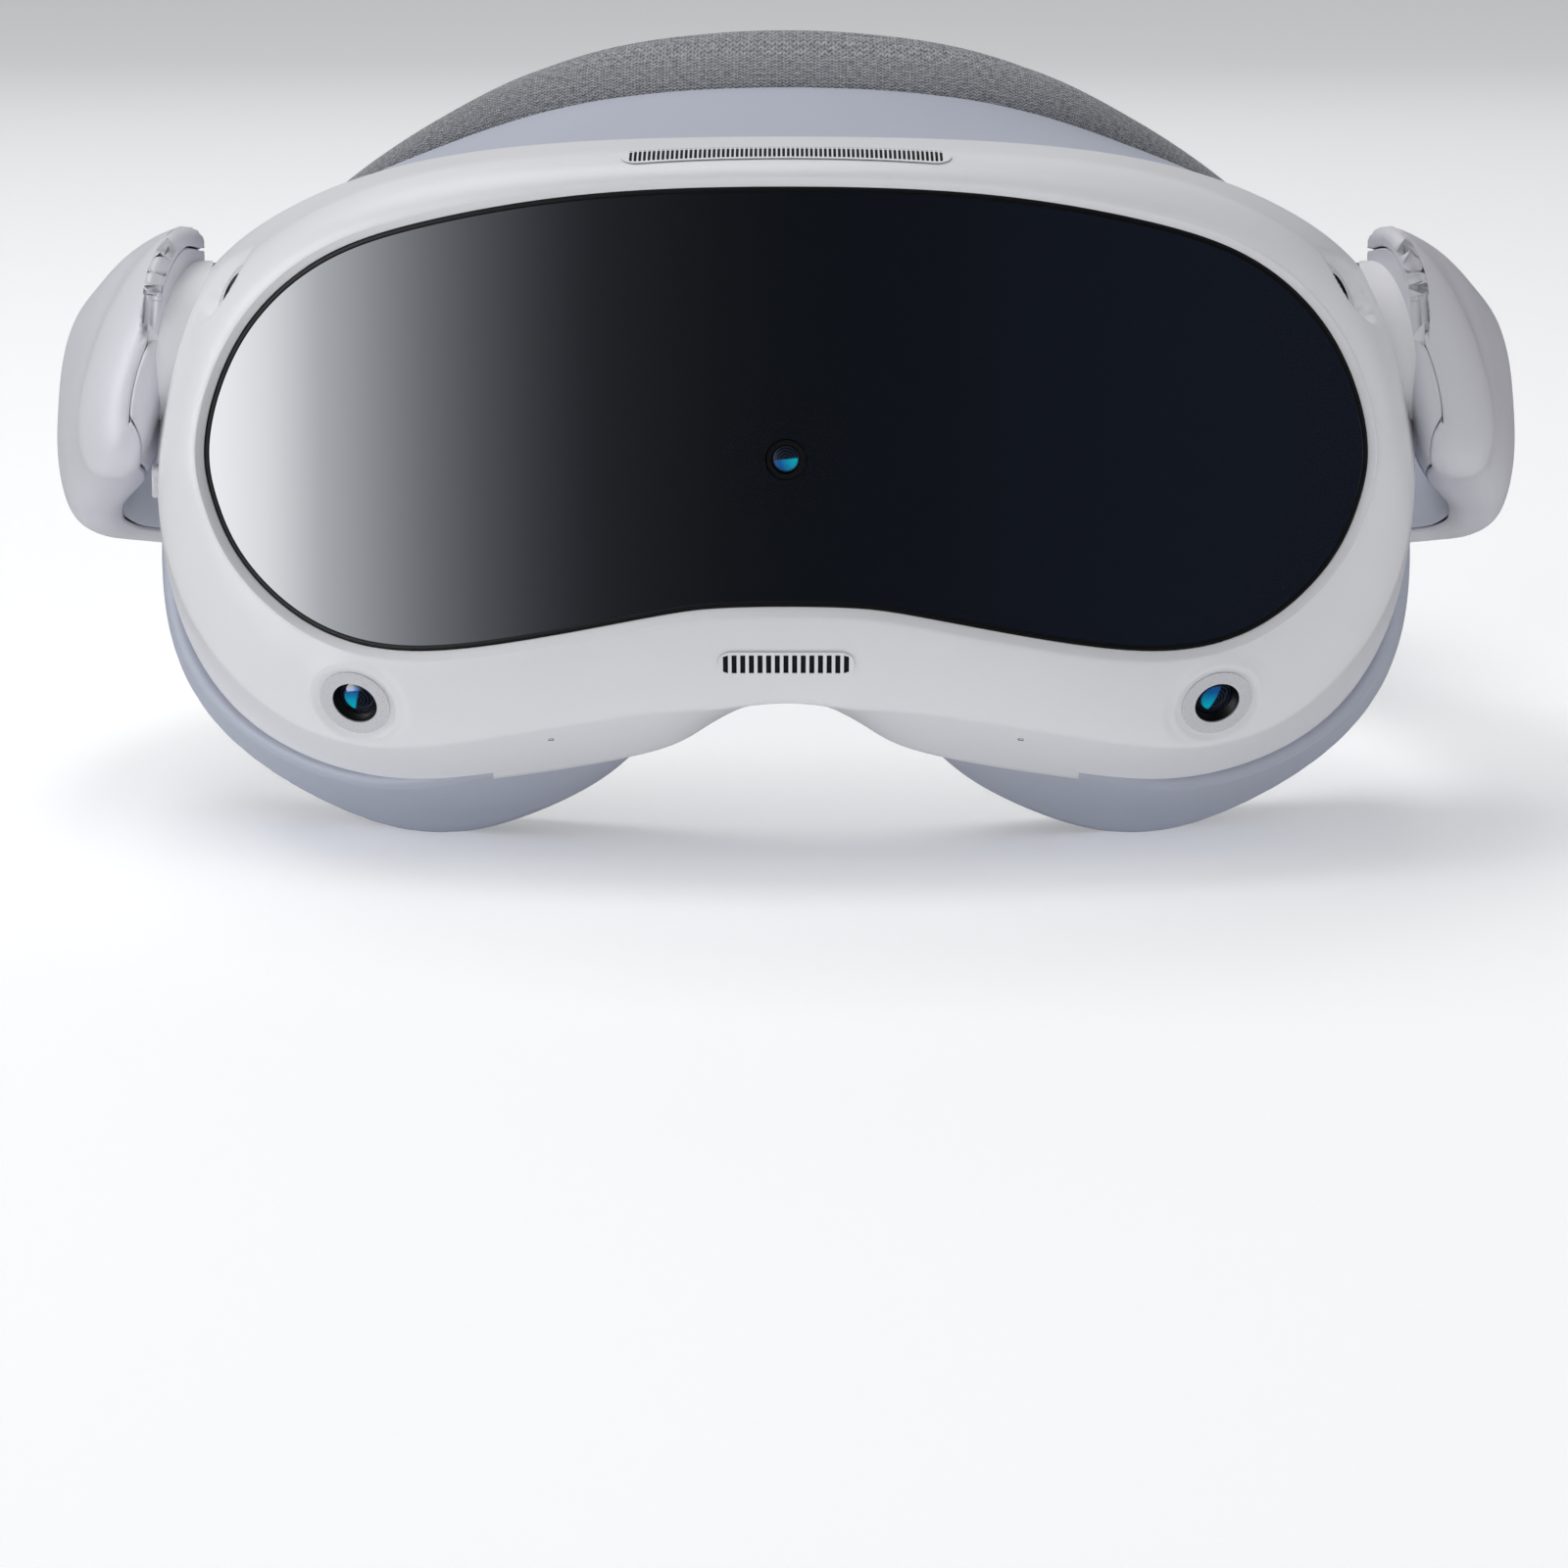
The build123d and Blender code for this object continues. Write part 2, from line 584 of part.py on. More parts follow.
def cushion_form(gap):
    """Closed form inside the cushion's outer side, which flares over the brow, shrunk by gap."""
    share = (CUSHION_FRONT_AT - GASKET_FRONT_AT) / (GASKET_LOBES_AT - GASKET_FRONT_AT)
    front = [
        (x + share * (lobe_x - x), z + share * (lobe_z - z))
        for (x, z), (lobe_x, lobe_z) in zip(GASKET_FRONT, GASKET_LOBES)
    ]
    with BuildPart() as form:
        loft(
            [
                outline_face(inset(front, gap), CUSHION_FRONT_AT),
                outline_face(inset(CUSHION_BROW, gap), CUSHION_BROW_AT),
                outline_face(inset(GASKET_BACK, gap), GASKET_BACK_AT),
            ],
            ruled=True,
        )
    return form.part


with BuildPart() as face_cushion:
    add(cushion_form(0.6))
    add(cushion_form(0.6 + CUSHION_WIDE), mode=Mode.SUBTRACT)
    rim_slab(RIM_R - CUSHION_GAP, RIM_R - CUSHION_DEEP, Mode.INTERSECT)
    box_at((-NOSE_HALF, 20, -5), (NOSE_HALF, 120, 62), mode=Mode.SUBTRACT)
finish(face_cushion.part, "face_cushion")

with BuildPart() as nose_flap:
    add(gasket_form(0.6))
    add(gasket_form(2.4), mode=Mode.SUBTRACT)
    rim_slab(RIM_R - CUSHION_GAP, RIM_R - CUSHION_DEEP + 1, Mode.INTERSECT)
    box_at((-NOSE_HALF + 0.3, 20, -5), (NOSE_HALF - 0.3, 120, 62), mode=Mode.INTERSECT)
finish(nose_flap.part, "nose_flap")

# ---------------------------------------------------------------- strap arms
# Stations along the right arm: depth, inner and outer x at mid-height, lowest and highest z, and lean
ARM = [
    (34.5, 101.4, 104.0, 67, 89, 0.10),
    (40, 100.9, 107.0, 59.5, 95.5, 0.20),
    (50, 100.3, 111.4, 56.5, 97.5, 0.26),
    (62, 101.2, 115.2, 52.5, 91, 0.16),
    (80, 106.5, 119.6, 48, 80, 0.05),
    (96, 109.0, 119.6, 44.5, 74, 0.0),
    (118, 107.4, 115.6, 39, 66, 0.0),
    (142, 100.6, 107.0, 34.5, 59, 0.0),
    (158, 92.4, 99.0, 32, 56, 0.0),
    (168, 88.6, 95.6, 31.5, 55.5, 0.0),
]
ARM_SQUARE = 0.72  # below 1 squares the section's corners
SECTION_POINTS = 12


def arm_section(station, gap, lengthen=0):
    """Rounded upright section of the arm at one station, shrunk by gap."""
    depth, inner, outer, low, high, lean = station
    half_wide = (outer - inner) / 2 - gap
    half_tall = (high - low) / 2 - gap
    points = []
    for step in range(SECTION_POINTS):
        angle = 2 * math.pi * (step + 0.5) / SECTION_POINTS
        across = math.copysign(abs(math.cos(angle)) ** ARM_SQUARE, math.cos(angle)) * half_wide
        up = math.copysign(abs(math.sin(angle)) ** ARM_SQUARE, math.sin(angle)) * half_tall
        points.append(((inner + outer) / 2 + across - lean * up, (low + high) / 2 + up))
    with BuildSketch(upright(depth + lengthen)) as section:
        with BuildLine():
            Spline(*points, periodic=True)
        make_face()
    return section.sketch


def arm_form(gap, stations):
    with BuildPart() as form:
        loft([arm_section(station, gap) for station in stations])
    return form.part


def arm_outside():
    """Everything outside the seam between the arm's outer cover and its inner shell."""
    sections = []
    for depth, inner, outer, low, high, lean in ARM:
        seam = inner + (outer - inner) * SEAM_SHARE
        middle = (low + high) / 2
        with BuildSketch(upright(depth)) as section:
            corners = [(seam - lean * dz, middle + dz) for dz in (-40, 40)]
            Polygon(corners[0], (150, middle - 40), (150, middle + 40), corners[1], align=None)
        sections.append(section.sketch)
    with BuildPart() as outside:
        loft(sections, ruled=True)
    return outside.part


SEAM_SHARE = 0.45
arm_solid = arm_form(0, ARM)
arm_hollow = arm_form(ARM_WALL, ARM[1:8])
outside = arm_outside()

with BuildPart() as hub:
    with BuildSketch(sideways(94)) as hub_face:
        with Locations((FRONT_Y + HINGE_AT, HINGE_Z)):
            Circle(BOSS_R + 2.2)
    extrude(hub_face.sketch, amount=9.5)
    add(arm_solid, mode=Mode.INTERSECT)

with BuildPart() as hinge_space:
    for start, end, radius in ((80, HINGE_FACE_X, BOSS_R + 0.4), (80, 120, PIN_R + RUNNING)):
        with BuildSketch(sideways(start)) as bore_face:
            with Locations((FRONT_Y + HINGE_AT, HINGE_Z)):
                Circle(radius)
        extrude(bore_face.sketch, amount=end - start)

with BuildPart() as cap_space:
    with BuildSketch(sideways(103.5)) as cap_face:
        with Locations((FRONT_Y + HINGE_AT, HINGE_Z)):
            Circle(PIN_R + 2)
    extrude(cap_face.sketch, amount=1.5)

with BuildPart() as band_right:
    box_at(
        (BAND_X - BAND_THICK / 2, BAND_FRONT, BAND_Z - BAND_TALL / 2),
        (BAND_X + BAND_THICK / 2, BAND_REAR, BAND_Z + BAND_TALL / 2),
    )
    fillet(band_right.edges().filter_by(Axis.X), 4)
finish(band_right.part, "band_right")
finish(mirrored(band_right.part), "band_left")

with BuildPart() as arm_inner_right:
    add(arm_solid)
    add(arm_hollow, mode=Mode.SUBTRACT)
    add(outside, mode=Mode.SUBTRACT)
    add(hub.part)
    add(hinge_space.part, mode=Mode.SUBTRACT)
    add(band_right.part, mode=Mode.SUBTRACT)
finish(arm_inner_right.part, "arm_inner_right")
finish(mirrored(arm_inner_right.part), "arm_inner_left")

with BuildPart() as arm_outer_right:
    add(arm_solid)
    add(arm_hollow, mode=Mode.SUBTRACT)
    add(outside, mode=Mode.INTERSECT)
    add(hub.part, mode=Mode.SUBTRACT)
    add(cap_space.part, mode=Mode.SUBTRACT)
    add(band_right.part, mode=Mode.SUBTRACT)
finish(arm_outer_right.part, "arm_outer_right")
finish(mirrored(arm_outer_right.part), "arm_outer_left")

with BuildPart() as side_form:
    loft_between(inset(SHELL_FRONT, -0.05), SHELL_FRONT_AT, inset(SHELL_REAR, -0.05), SHELL_REAR_AT)

for side, side_name in ((-1, "left"), (1, "right")):
    with BuildPart() as hinge_base:
        for start, length, radius in ((86, 13.7, BOSS_R), (99.7, 4.9, PIN_R), (103.7, 1.0, PIN_R + 1.5)):
            with BuildSketch(sideways(side * start)) as disc_face:
                with Locations((FRONT_Y + HINGE_AT, HINGE_Z)):
                    Circle(radius)
            extrude(disc_face.sketch, amount=side * length)
        add(side_form.part, mode=Mode.SUBTRACT)
        add(gasket_form(-0.1), mode=Mode.SUBTRACT)
        keep = hinge_base.part.solids().sort_by(SortBy.VOLUME)[-1]
    finish(keep, f"hinge_base_{side_name}")
    with BuildPart() as speaker:
        with BuildSketch(upright(71)) as speaker_face:
            with Locations((side * 111.6, 66)):
                RectangleRounded(4.6, 11, 1.8)
        extrude(speaker_face.sketch, amount=-14)
    finish(speaker.part, f"speaker_{side_name}")

# ---------------------------------------------------------------- rear battery cup
# Half plan curves as (x, depth), from the middle outwards
CUP_BACK = [(0, 264), (42, 261), (70, 252), (88, 236.5), (96, 220), (99, 200), (99.2, 170)]
CUP_MIDDLE = [(0, 252.5), (40, 250), (66, 240), (82, 225), (90, 210), (92, 196), (92, 160)]
CUP_FRONT = [(0, 236), (38, 233.5), (62, 224.5), (77.5, 210), (84, 195), (86.2, 180), (86.4, 170)]
CUP_TIP = 170.0
CUP_BASE_HALF = 42.0


def plan_curve(half, gap):
    """Points of a plan curve moved gap towards the head, from one wing to the other."""
    points = []
    for index, (x, depth) in enumerate(half):
        ahead = half[min(index + 1, len(half) - 1)]
        behind = half[max(index - 1, 0)]
        run = math.dist(ahead, behind)
        turn = (ahead[0] - behind[0]) / run if index else 1
        slope = (ahead[1] - behind[1]) / run if index else 0
        points.append((x + gap * slope, FRONT_Y + depth - gap * turn))
    return [(-x, y) for x, y in reversed(points[1:])] + points


def plan_region(back, back_gap, front, front_gap):
    """Flat region between two plan curves, open wing tips closed by straight edges."""
    outer = plan_curve(back, back_gap)
    inner = plan_curve(front, front_gap)
    with BuildSketch(Plane.XY.offset(-5)) as region:
        with BuildLine():
            Spline(*outer)
            Line(outer[-1], inner[-1])
            Spline(*inner)
            Line(inner[0], outer[0])
        make_face()
    return region.sketch


def cup_front_view(gap):
    """The cup's outline seen from the front: a flat base and wings that rise off the table."""
    right = [(CUP_BASE_HALF, gap), (62, 3.5 + gap), (84, 20 + gap), (101, 29 + gap)]
    top = [(101, 58 - gap), (84, 62 - gap), (48, CUP_TALL - 1.4 - gap), (0, CUP_TALL - gap)]
    with BuildSketch(upright(300)) as view:
        with BuildLine():
            Line((-CUP_BASE_HALF, gap), (CUP_BASE_HALF, gap))
            Spline(*right, tangents=((1, 0), (1, 0.1)))
            Line(right[-1], top[0])
            Spline(*top, *[(-x, z) for x, z in reversed(top[:-1])])
            Line((-top[0][0], top[0][1]), (-right[-1][0], right[-1][1]))
            Spline(*[(-x, z) for x, z in reversed(right)], tangents=((1, -0.1), (1, 0)))
        make_face()
    return view.sketch


def cup_form(back, back_gap, front, front_gap, gap, tip):
    with BuildPart() as form:
        extrude(plan_region(back, back_gap, front, front_gap), amount=90)
        extrude(cup_front_view(gap), amount=200, mode=Mode.INTERSECT)
        box_at((-120, 120, -10), (120, tip, 100), mode=Mode.SUBTRACT)
    return form.part


BAND_GAP = 0.3
with BuildPart() as band_ways:
    for side in (-1, 1):
        box_at(
            (side * BAND_X - BAND_THICK / 2 - BAND_GAP, 150, BAND_Z - BAND_TALL / 2 - BAND_GAP),
            (side * BAND_X + BAND_THICK / 2 + BAND_GAP, BAND_REAR + 1, BAND_Z + BAND_TALL / 2 + BAND_GAP),
        )

PORT_AT = 258.0
with BuildPart() as rear_shell_outer:
    add(cup_form(CUP_BACK, 0, CUP_MIDDLE, 0, 0, CUP_TIP))
    add(cup_form(CUP_BACK, CUP_WALL, CUP_FRONT, -CUP_WALL, CUP_WALL, CUP_TIP + CUP_WALL), mode=Mode.SUBTRACT)
    add(band_ways.part, mode=Mode.SUBTRACT)
    disc_at(0, DIAL_Z, 255, 275, 4.0 + RUNNING, mode=Mode.SUBTRACT)
    box_at((-4.7, PORT_AT - 1.8, -1), (4.7, PORT_AT + 1.8, 4), mode=Mode.SUBTRACT)
finish(rear_shell_outer.part, "rear_shell_outer")

with BuildPart() as rear_shell_inner:
    add(cup_form(CUP_MIDDLE, 0, CUP_FRONT, 0, 0, CUP_TIP))
    add(cup_form(CUP_BACK, CUP_WALL, CUP_FRONT, -CUP_WALL, CUP_WALL, CUP_TIP + CUP_WALL), mode=Mode.SUBTRACT)
    add(band_ways.part, mode=Mode.SUBTRACT)
finish(rear_shell_inner.part, "rear_shell_inner")

PAD_DEEP = 12.0
with BuildPart() as rear_pad:
    add(cup_form(CUP_FRONT, 0.3, CUP_FRONT, PAD_DEEP, 4, CUP_TIP))
    box_at((-66, 120, -5), (66, 260, 100), mode=Mode.INTERSECT)
finish(rear_pad.part, "rear_pad")

for side, side_name in ((-1, "left"), (1, "right")):
    with BuildPart() as battery_cell:
        low, high = sorted((side * 3, side * 47))
        box_at((low, 241, 10), (high, 249.5, 62))
        fillet(battery_cell.edges(), 2)
    finish(battery_cell.part, f"battery_cell_{side_name}")

with BuildPart() as battery_board:
    box_at((-40, 250.2, 12), (40, 251.4, 20))
finish(battery_board.part, "battery_board")

with BuildPart() as charging_port:
    box_at((-4.5, PORT_AT - 1.6, 0.3), (4.5, PORT_AT + 1.6, 7.5))
    fillet(charging_port.edges().filter_by(Axis.Z), 1.5)
    box_at((-4.1, PORT_AT - 1.2, 0.2), (4.1, PORT_AT + 1.2, 6.5), mode=Mode.SUBTRACT)
    box_at((-3.3, PORT_AT - 0.35, 1.2), (3.3, PORT_AT + 0.35, 6.8))
finish(charging_port.part, "charging_port")

# ---------------------------------------------------------------- dial, pinion and racks
PINION_FRONT = RACK_AT
PINION_REAR = RACK_AT + 4.5
DIAL_REAR = OVERALL_DEPTH - LIP
DIAL_RIBS = 40

with BuildPart() as dial_knob:
    disc_at(0, DIAL_Z, 264.4, DIAL_REAR, DIAL_R)
    fillet(dial_knob.faces().sort_by(Axis.Y)[-1].edges(), 1.0)
    with BuildSketch(upright(264)) as ribs:
        with Locations((0, DIAL_Z)):
            with PolarLocations(DIAL_R, DIAL_RIBS):
                Circle(0.6)
    extrude(ribs.sketch, amount=-6, mode=Mode.SUBTRACT)
    disc_at(0, DIAL_Z, PINION_REAR, 264.4, 4.0)
    disc_at(0, DIAL_Z, PINION_FRONT - 0.6, PINION_REAR, 2.5)
finish(dial_knob.part, "dial_knob")

with BuildPart() as dial_pinion:
    with BuildSketch(upright(PINION_FRONT)) as pinion_face:
        with Locations((0, DIAL_Z)):
            gear_profile(TOOTH_MODULE, PINION_TEETH, 2.5)
    extrude(pinion_face.sketch, amount=PINION_FRONT - PINION_REAR)
finish(dial_pinion.part, "dial_pinion")

RACK_TEETH = 10
for side, side_name in ((-1, "left"), (1, "right")):
    with BuildPart() as adjuster_rack:
        with BuildSketch(upright(PINION_FRONT + 0.2)) as rack_face:
            with Locations((0, DIAL_Z - side * PINION_R)):
                rack_profile(TOOTH_MODULE, -2 if side < 0 else 1 - RACK_TEETH, RACK_TEETH, 5.5, 0, -side)
        extrude(rack_face.sketch, amount=PINION_FRONT - PINION_REAR + 0.4)
    finish(adjuster_rack.part, f"adjuster_rack_{side_name}")
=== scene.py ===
import json
import math

import bmesh
import bpy
import numpy as np
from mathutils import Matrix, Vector
from mathutils.bvhtree import BVHTree


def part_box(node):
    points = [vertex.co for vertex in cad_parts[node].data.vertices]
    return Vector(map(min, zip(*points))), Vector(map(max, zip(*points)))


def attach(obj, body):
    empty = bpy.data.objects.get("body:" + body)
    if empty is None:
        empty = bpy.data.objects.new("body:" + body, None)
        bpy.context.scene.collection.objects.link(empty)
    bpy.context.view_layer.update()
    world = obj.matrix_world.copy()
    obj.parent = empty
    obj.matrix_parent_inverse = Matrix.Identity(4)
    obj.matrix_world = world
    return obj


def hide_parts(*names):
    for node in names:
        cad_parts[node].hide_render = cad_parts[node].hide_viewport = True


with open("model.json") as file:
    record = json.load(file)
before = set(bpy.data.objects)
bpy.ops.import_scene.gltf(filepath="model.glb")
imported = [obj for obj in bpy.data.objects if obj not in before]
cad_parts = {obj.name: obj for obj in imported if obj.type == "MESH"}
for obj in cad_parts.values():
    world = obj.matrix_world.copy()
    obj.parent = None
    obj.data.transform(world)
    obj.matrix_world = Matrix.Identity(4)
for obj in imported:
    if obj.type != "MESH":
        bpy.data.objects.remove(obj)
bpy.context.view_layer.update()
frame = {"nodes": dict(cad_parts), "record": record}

MM = 0.001

# ---------------------------------------------------------------- the frame's main places (mm)
BEZEL_LOW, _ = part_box("front_bezel")
LIP = 1.6
FRONT_Y = BEZEL_LOW[1] / MM + LIP
VISOR_R = 230.0
RIM_R = 190.0
RIM_AXIS_Y = FRONT_Y + 46.0 + RIM_R
CUSHION_DEEP = 14.0
CUSHION_WIDE = 15.0

# Half outlines seen from the front, top middle to bottom middle, point for point alike
VISOR = [
    (0, 109), (29.5, 107.7), (54, 103.3), (71, 96.8), (83.2, 84.8), (88.8, 69.9), (87.9, 59.5),
    (83.2, 50), (73, 41.3), (59, 37.8), (41, 39.8), (21, 43.9), (10.5, 45.5), (0, 45.8),
]
CREASE = [
    (0, 114.3), (30, 113.4), (55, 110), (75, 102.1), (90.6, 87.8), (96.5, 69.6), (97.3, 55),
    (91.6, 38.3), (78, 25.2), (62, 21.3), (44.5, 23.6), (22, 27.8), (10.5, 28.9), (0, 29.9),
]
CREASE_FALL = [10, 10, 10, 10, 10, 10, 7, 6, 6, 6, 6, 6, 6, 6]  # depth of the crease behind the visor
BAND = [
    (0, 114.6), (30, 113.8), (56, 110.4), (77, 102.8), (93, 89), (99.3, 69), (99.9, 53),
    (96, 34.5), (84, 19), (65, 12.2), (46, 13.2), (22, 18), (12, 22.8), (0, 27.2),
]
GASKET = {
    25.0: [
        (0, 113.5), (30, 112.4), (55.5, 109), (74.5, 101), (88.5, 87.5), (95, 69), (95.6, 53),
        (91.8, 36.5), (80.5, 21.8), (64.3, 14.8), (46, 15.6), (23, 21), (13, 27), (0, 31.5),
    ],
    52.0: [
        (0, 123.2), (30, 119.6), (56, 110.2), (75, 100.3), (89, 85.5), (97, 68), (99.9, 50),
        (98.4, 30.5), (88.5, 14.5), (71, 3.5), (53, 0.1), (33.5, 6), (20, 19), (0, 34.5),
    ],
    92.0: [
        (0, 132), (28, 128), (52, 117), (72, 104.5), (87, 88), (96, 69), (99.3, 50),
        (97.5, 31), (88, 15), (71, 4.4), (53, 1), (34, 8), (21, 22), (0, 38),
    ],
}

CUSHION = {
    40.0: [
        (0, 119.4), (30, 116.8), (55.8, 109.9), (74.8, 100.6), (88.8, 86.4), (96.1, 68.4), (98, 51.3),
        (95.5, 33.2), (85, 17.7), (68, 8.5), (49.9, 7), (28.8, 12.7), (16.9, 22.6), (0, 33.2),
    ],
    56.0: [
        (0, 129.9), (29, 126.4), (53, 117), (73, 103.2), (88.4, 86), (96.7, 68), (99.8, 50),
        (98.3, 30.6), (88.4, 14.6), (71, 3.7), (53, 0.3), (33.6, 6.2), (20.1, 19.3), (0, 35),
    ],
    92.0: GASKET[92.0],
}


# ---------------------------------------------------------------- curves and grids
def closed_spline(points, count):
    """Smooth closed curve through the points, evenly sampled by point number."""
    points = np.array(points, float)
    size = len(points)
    matrix = np.zeros((size, size))
    for row in range(size):
        matrix[row, row] = 4
        matrix[row, (row + 1) % size] = 1
        matrix[row, (row - 1) % size] = 1
    right = 3 * (np.roll(points, -1, 0) - np.roll(points, 1, 0))
    slopes = np.linalg.solve(matrix, right)
    at = np.arange(count) * size / count
    start = np.floor(at).astype(int) % size
    share = (at - np.floor(at))[:, None]
    end = (start + 1) % size
    return (
        points[start] * (1 + 2 * share) * (1 - share) ** 2
        + slopes[start] * share * (1 - share) ** 2
        + points[end] * share**2 * (3 - 2 * share)
        + slopes[end] * share**2 * (share - 1)
    )


def whole(half):
    return list(half) + [(-x, z) for x, z in reversed(half[1:-1])]


def outline(half, count):
    return closed_spline(whole(half), count)


def outward(loop):
    """Outward unit normals of a closed clockwise loop in the front view."""
    run = np.roll(loop, -1, 0) - np.roll(loop, 1, 0)
    run /= np.linalg.norm(run, axis=1)[:, None]
    return np.column_stack([-run[:, 1], run[:, 0]])


def visor_depth(x):
    return VISOR_R - np.sqrt(VISOR_R**2 - x**2)


def rim_depth(x, radius=RIM_R):
    """Depth of the surface that the gasket's rear rim follows."""
    return RIM_AXIS_Y - FRONT_Y - np.sqrt(radius**2 - x**2)


def place(loop, depth):
    """Front-view loop and depths to points in metres."""
    return np.column_stack([loop[:, 0], FRONT_Y + depth, loop[:, 1]]) * MM


def squared(wave, power):
    """Sine or cosine of a section's angle, bent so that the section is squarer than an ellipse."""
    return math.copysign(abs(wave) ** power, wave)


def linked(name, data):
    """New object with this data, linked to the scene."""
    made = bpy.data.objects.new(name, data)
    bpy.context.scene.collection.objects.link(made)
    return made


def grid_mesh(name, grid, wrap_rows=True, wrap_columns=False, flip=False, uv_scale=None):
    """Mesh over a grid of points (rows, columns, 3), wrapped where asked, shaded smooth."""
    rows, columns, _ = grid.shape
    number = np.arange(rows * columns).reshape(rows, columns)
    faces = []
    for row in range(rows if wrap_rows else rows - 1):
        for column in range(columns if wrap_columns else columns - 1):
            next_row = (row + 1) % rows
            next_column = (column + 1) % columns
            face = (
                number[row, column], number[row, next_column],
                number[next_row, next_column], number[next_row, column],
            )
            faces.append(tuple(int(v) for v in (reversed(face) if flip else face)))
    mesh = bpy.data.meshes.new(name)
    mesh.from_pydata([tuple(p) for p in grid.reshape(-1, 3)], [], faces)
    mesh.polygons.foreach_set("use_smooth", [True] * len(mesh.polygons))
    if uv_scale:
        layer = mesh.uv_layers.new(name="weave")
        along = uv_scale[0] / rows
        across = uv_scale[1] / columns
        uv = []
        for row in range(rows if wrap_rows else rows - 1):
            for column in range(columns if wrap_columns else columns - 1):
                corners = [(row, column), (row, column + 1), (row + 1, column + 1), (row + 1, column)]
                for corner_row, corner_column in (reversed(corners) if flip else corners):
                    uv += [corner_row * along, corner_column * across]
        layer.data.foreach_set("uv", uv)
    mesh.update()
    return linked(name, mesh)


def dress(piece, body, material, slot, *nodes):
    """Give a piece its material and its body, and hide the CAD nodes that it stands for; the slot argument
    is not used.
    """
    piece.data.materials.clear()
    piece.data.materials.append(material)
    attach(piece, body)
    if nodes:
        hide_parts(*nodes)
    return piece


# ---------------------------------------------------------------- materials
def new_material(name, color, roughness, metallic=0.0, **extra):
    material = bpy.data.materials.new(name)
    material.use_nodes = True
    nodes = material.node_tree.nodes
    shader = nodes["Principled BSDF"]
    shader.inputs["Base Color"].default_value = (*color, 1)
    shader.inputs["Roughness"].default_value = roughness
    shader.inputs["Metallic"].default_value = metallic
    for key, value in extra.items():
        shader.inputs[key.replace("_", " ")].default_value = value
    return material, nodes, material.node_tree.links, shader


def moulded(name, color, roughness, grain=2500.0, bump=0.03, vary=0.04, metallic=0.0, **extra):
    """Moulded plastic: slow colour drift, fine spark grain in roughness and bump."""
    material, nodes, links, shader = new_material(name, color, roughness, metallic, **extra)
    coordinates = nodes.new("ShaderNodeTexCoord")
    slow = nodes.new("ShaderNodeTexNoise")
    slow.inputs["Scale"].default_value = 22
    slow.inputs["Detail"].default_value = 3
    ramp = nodes.new("ShaderNodeMapRange")
    ramp.inputs["To Min"].default_value = 1 - vary
    ramp.inputs["To Max"].default_value = 1 + vary
    tint = nodes.new("ShaderNodeVectorMath")
    tint.operation = "SCALE"
    tint.inputs[0].default_value = color
    fine = nodes.new("ShaderNodeTexNoise")
    fine.inputs["Scale"].default_value = grain
    fine.inputs["Detail"].default_value = 2
    rough = nodes.new("ShaderNodeMapRange")
    rough.inputs["To Min"].default_value = max(roughness - 0.05, 0)
    rough.inputs["To Max"].default_value = roughness + 0.05
    height = nodes.new("ShaderNodeBump")
    height.inputs["Strength"].default_value = bump
    height.inputs["Distance"].default_value = 0.0002
    links.new(coordinates.outputs["Object"], slow.inputs["Vector"])
    links.new(coordinates.outputs["Object"], fine.inputs["Vector"])
    links.new(slow.outputs["Fac"], ramp.inputs["Value"])
    links.new(ramp.outputs["Result"], tint.inputs["Scale"])
    links.new(tint.outputs["Vector"], shader.inputs["Base Color"])
    links.new(fine.outputs["Fac"], rough.inputs["Value"])
    links.new(rough.outputs["Result"], shader.inputs["Roughness"])
    links.new(fine.outputs["Fac"], height.inputs["Height"])
    links.new(height.outputs["Normal"], shader.inputs["Normal"])
    return material


WALE_WIDE, COURSE_TALL = 0.8, 0.65  # one stitch of the knit (mm)


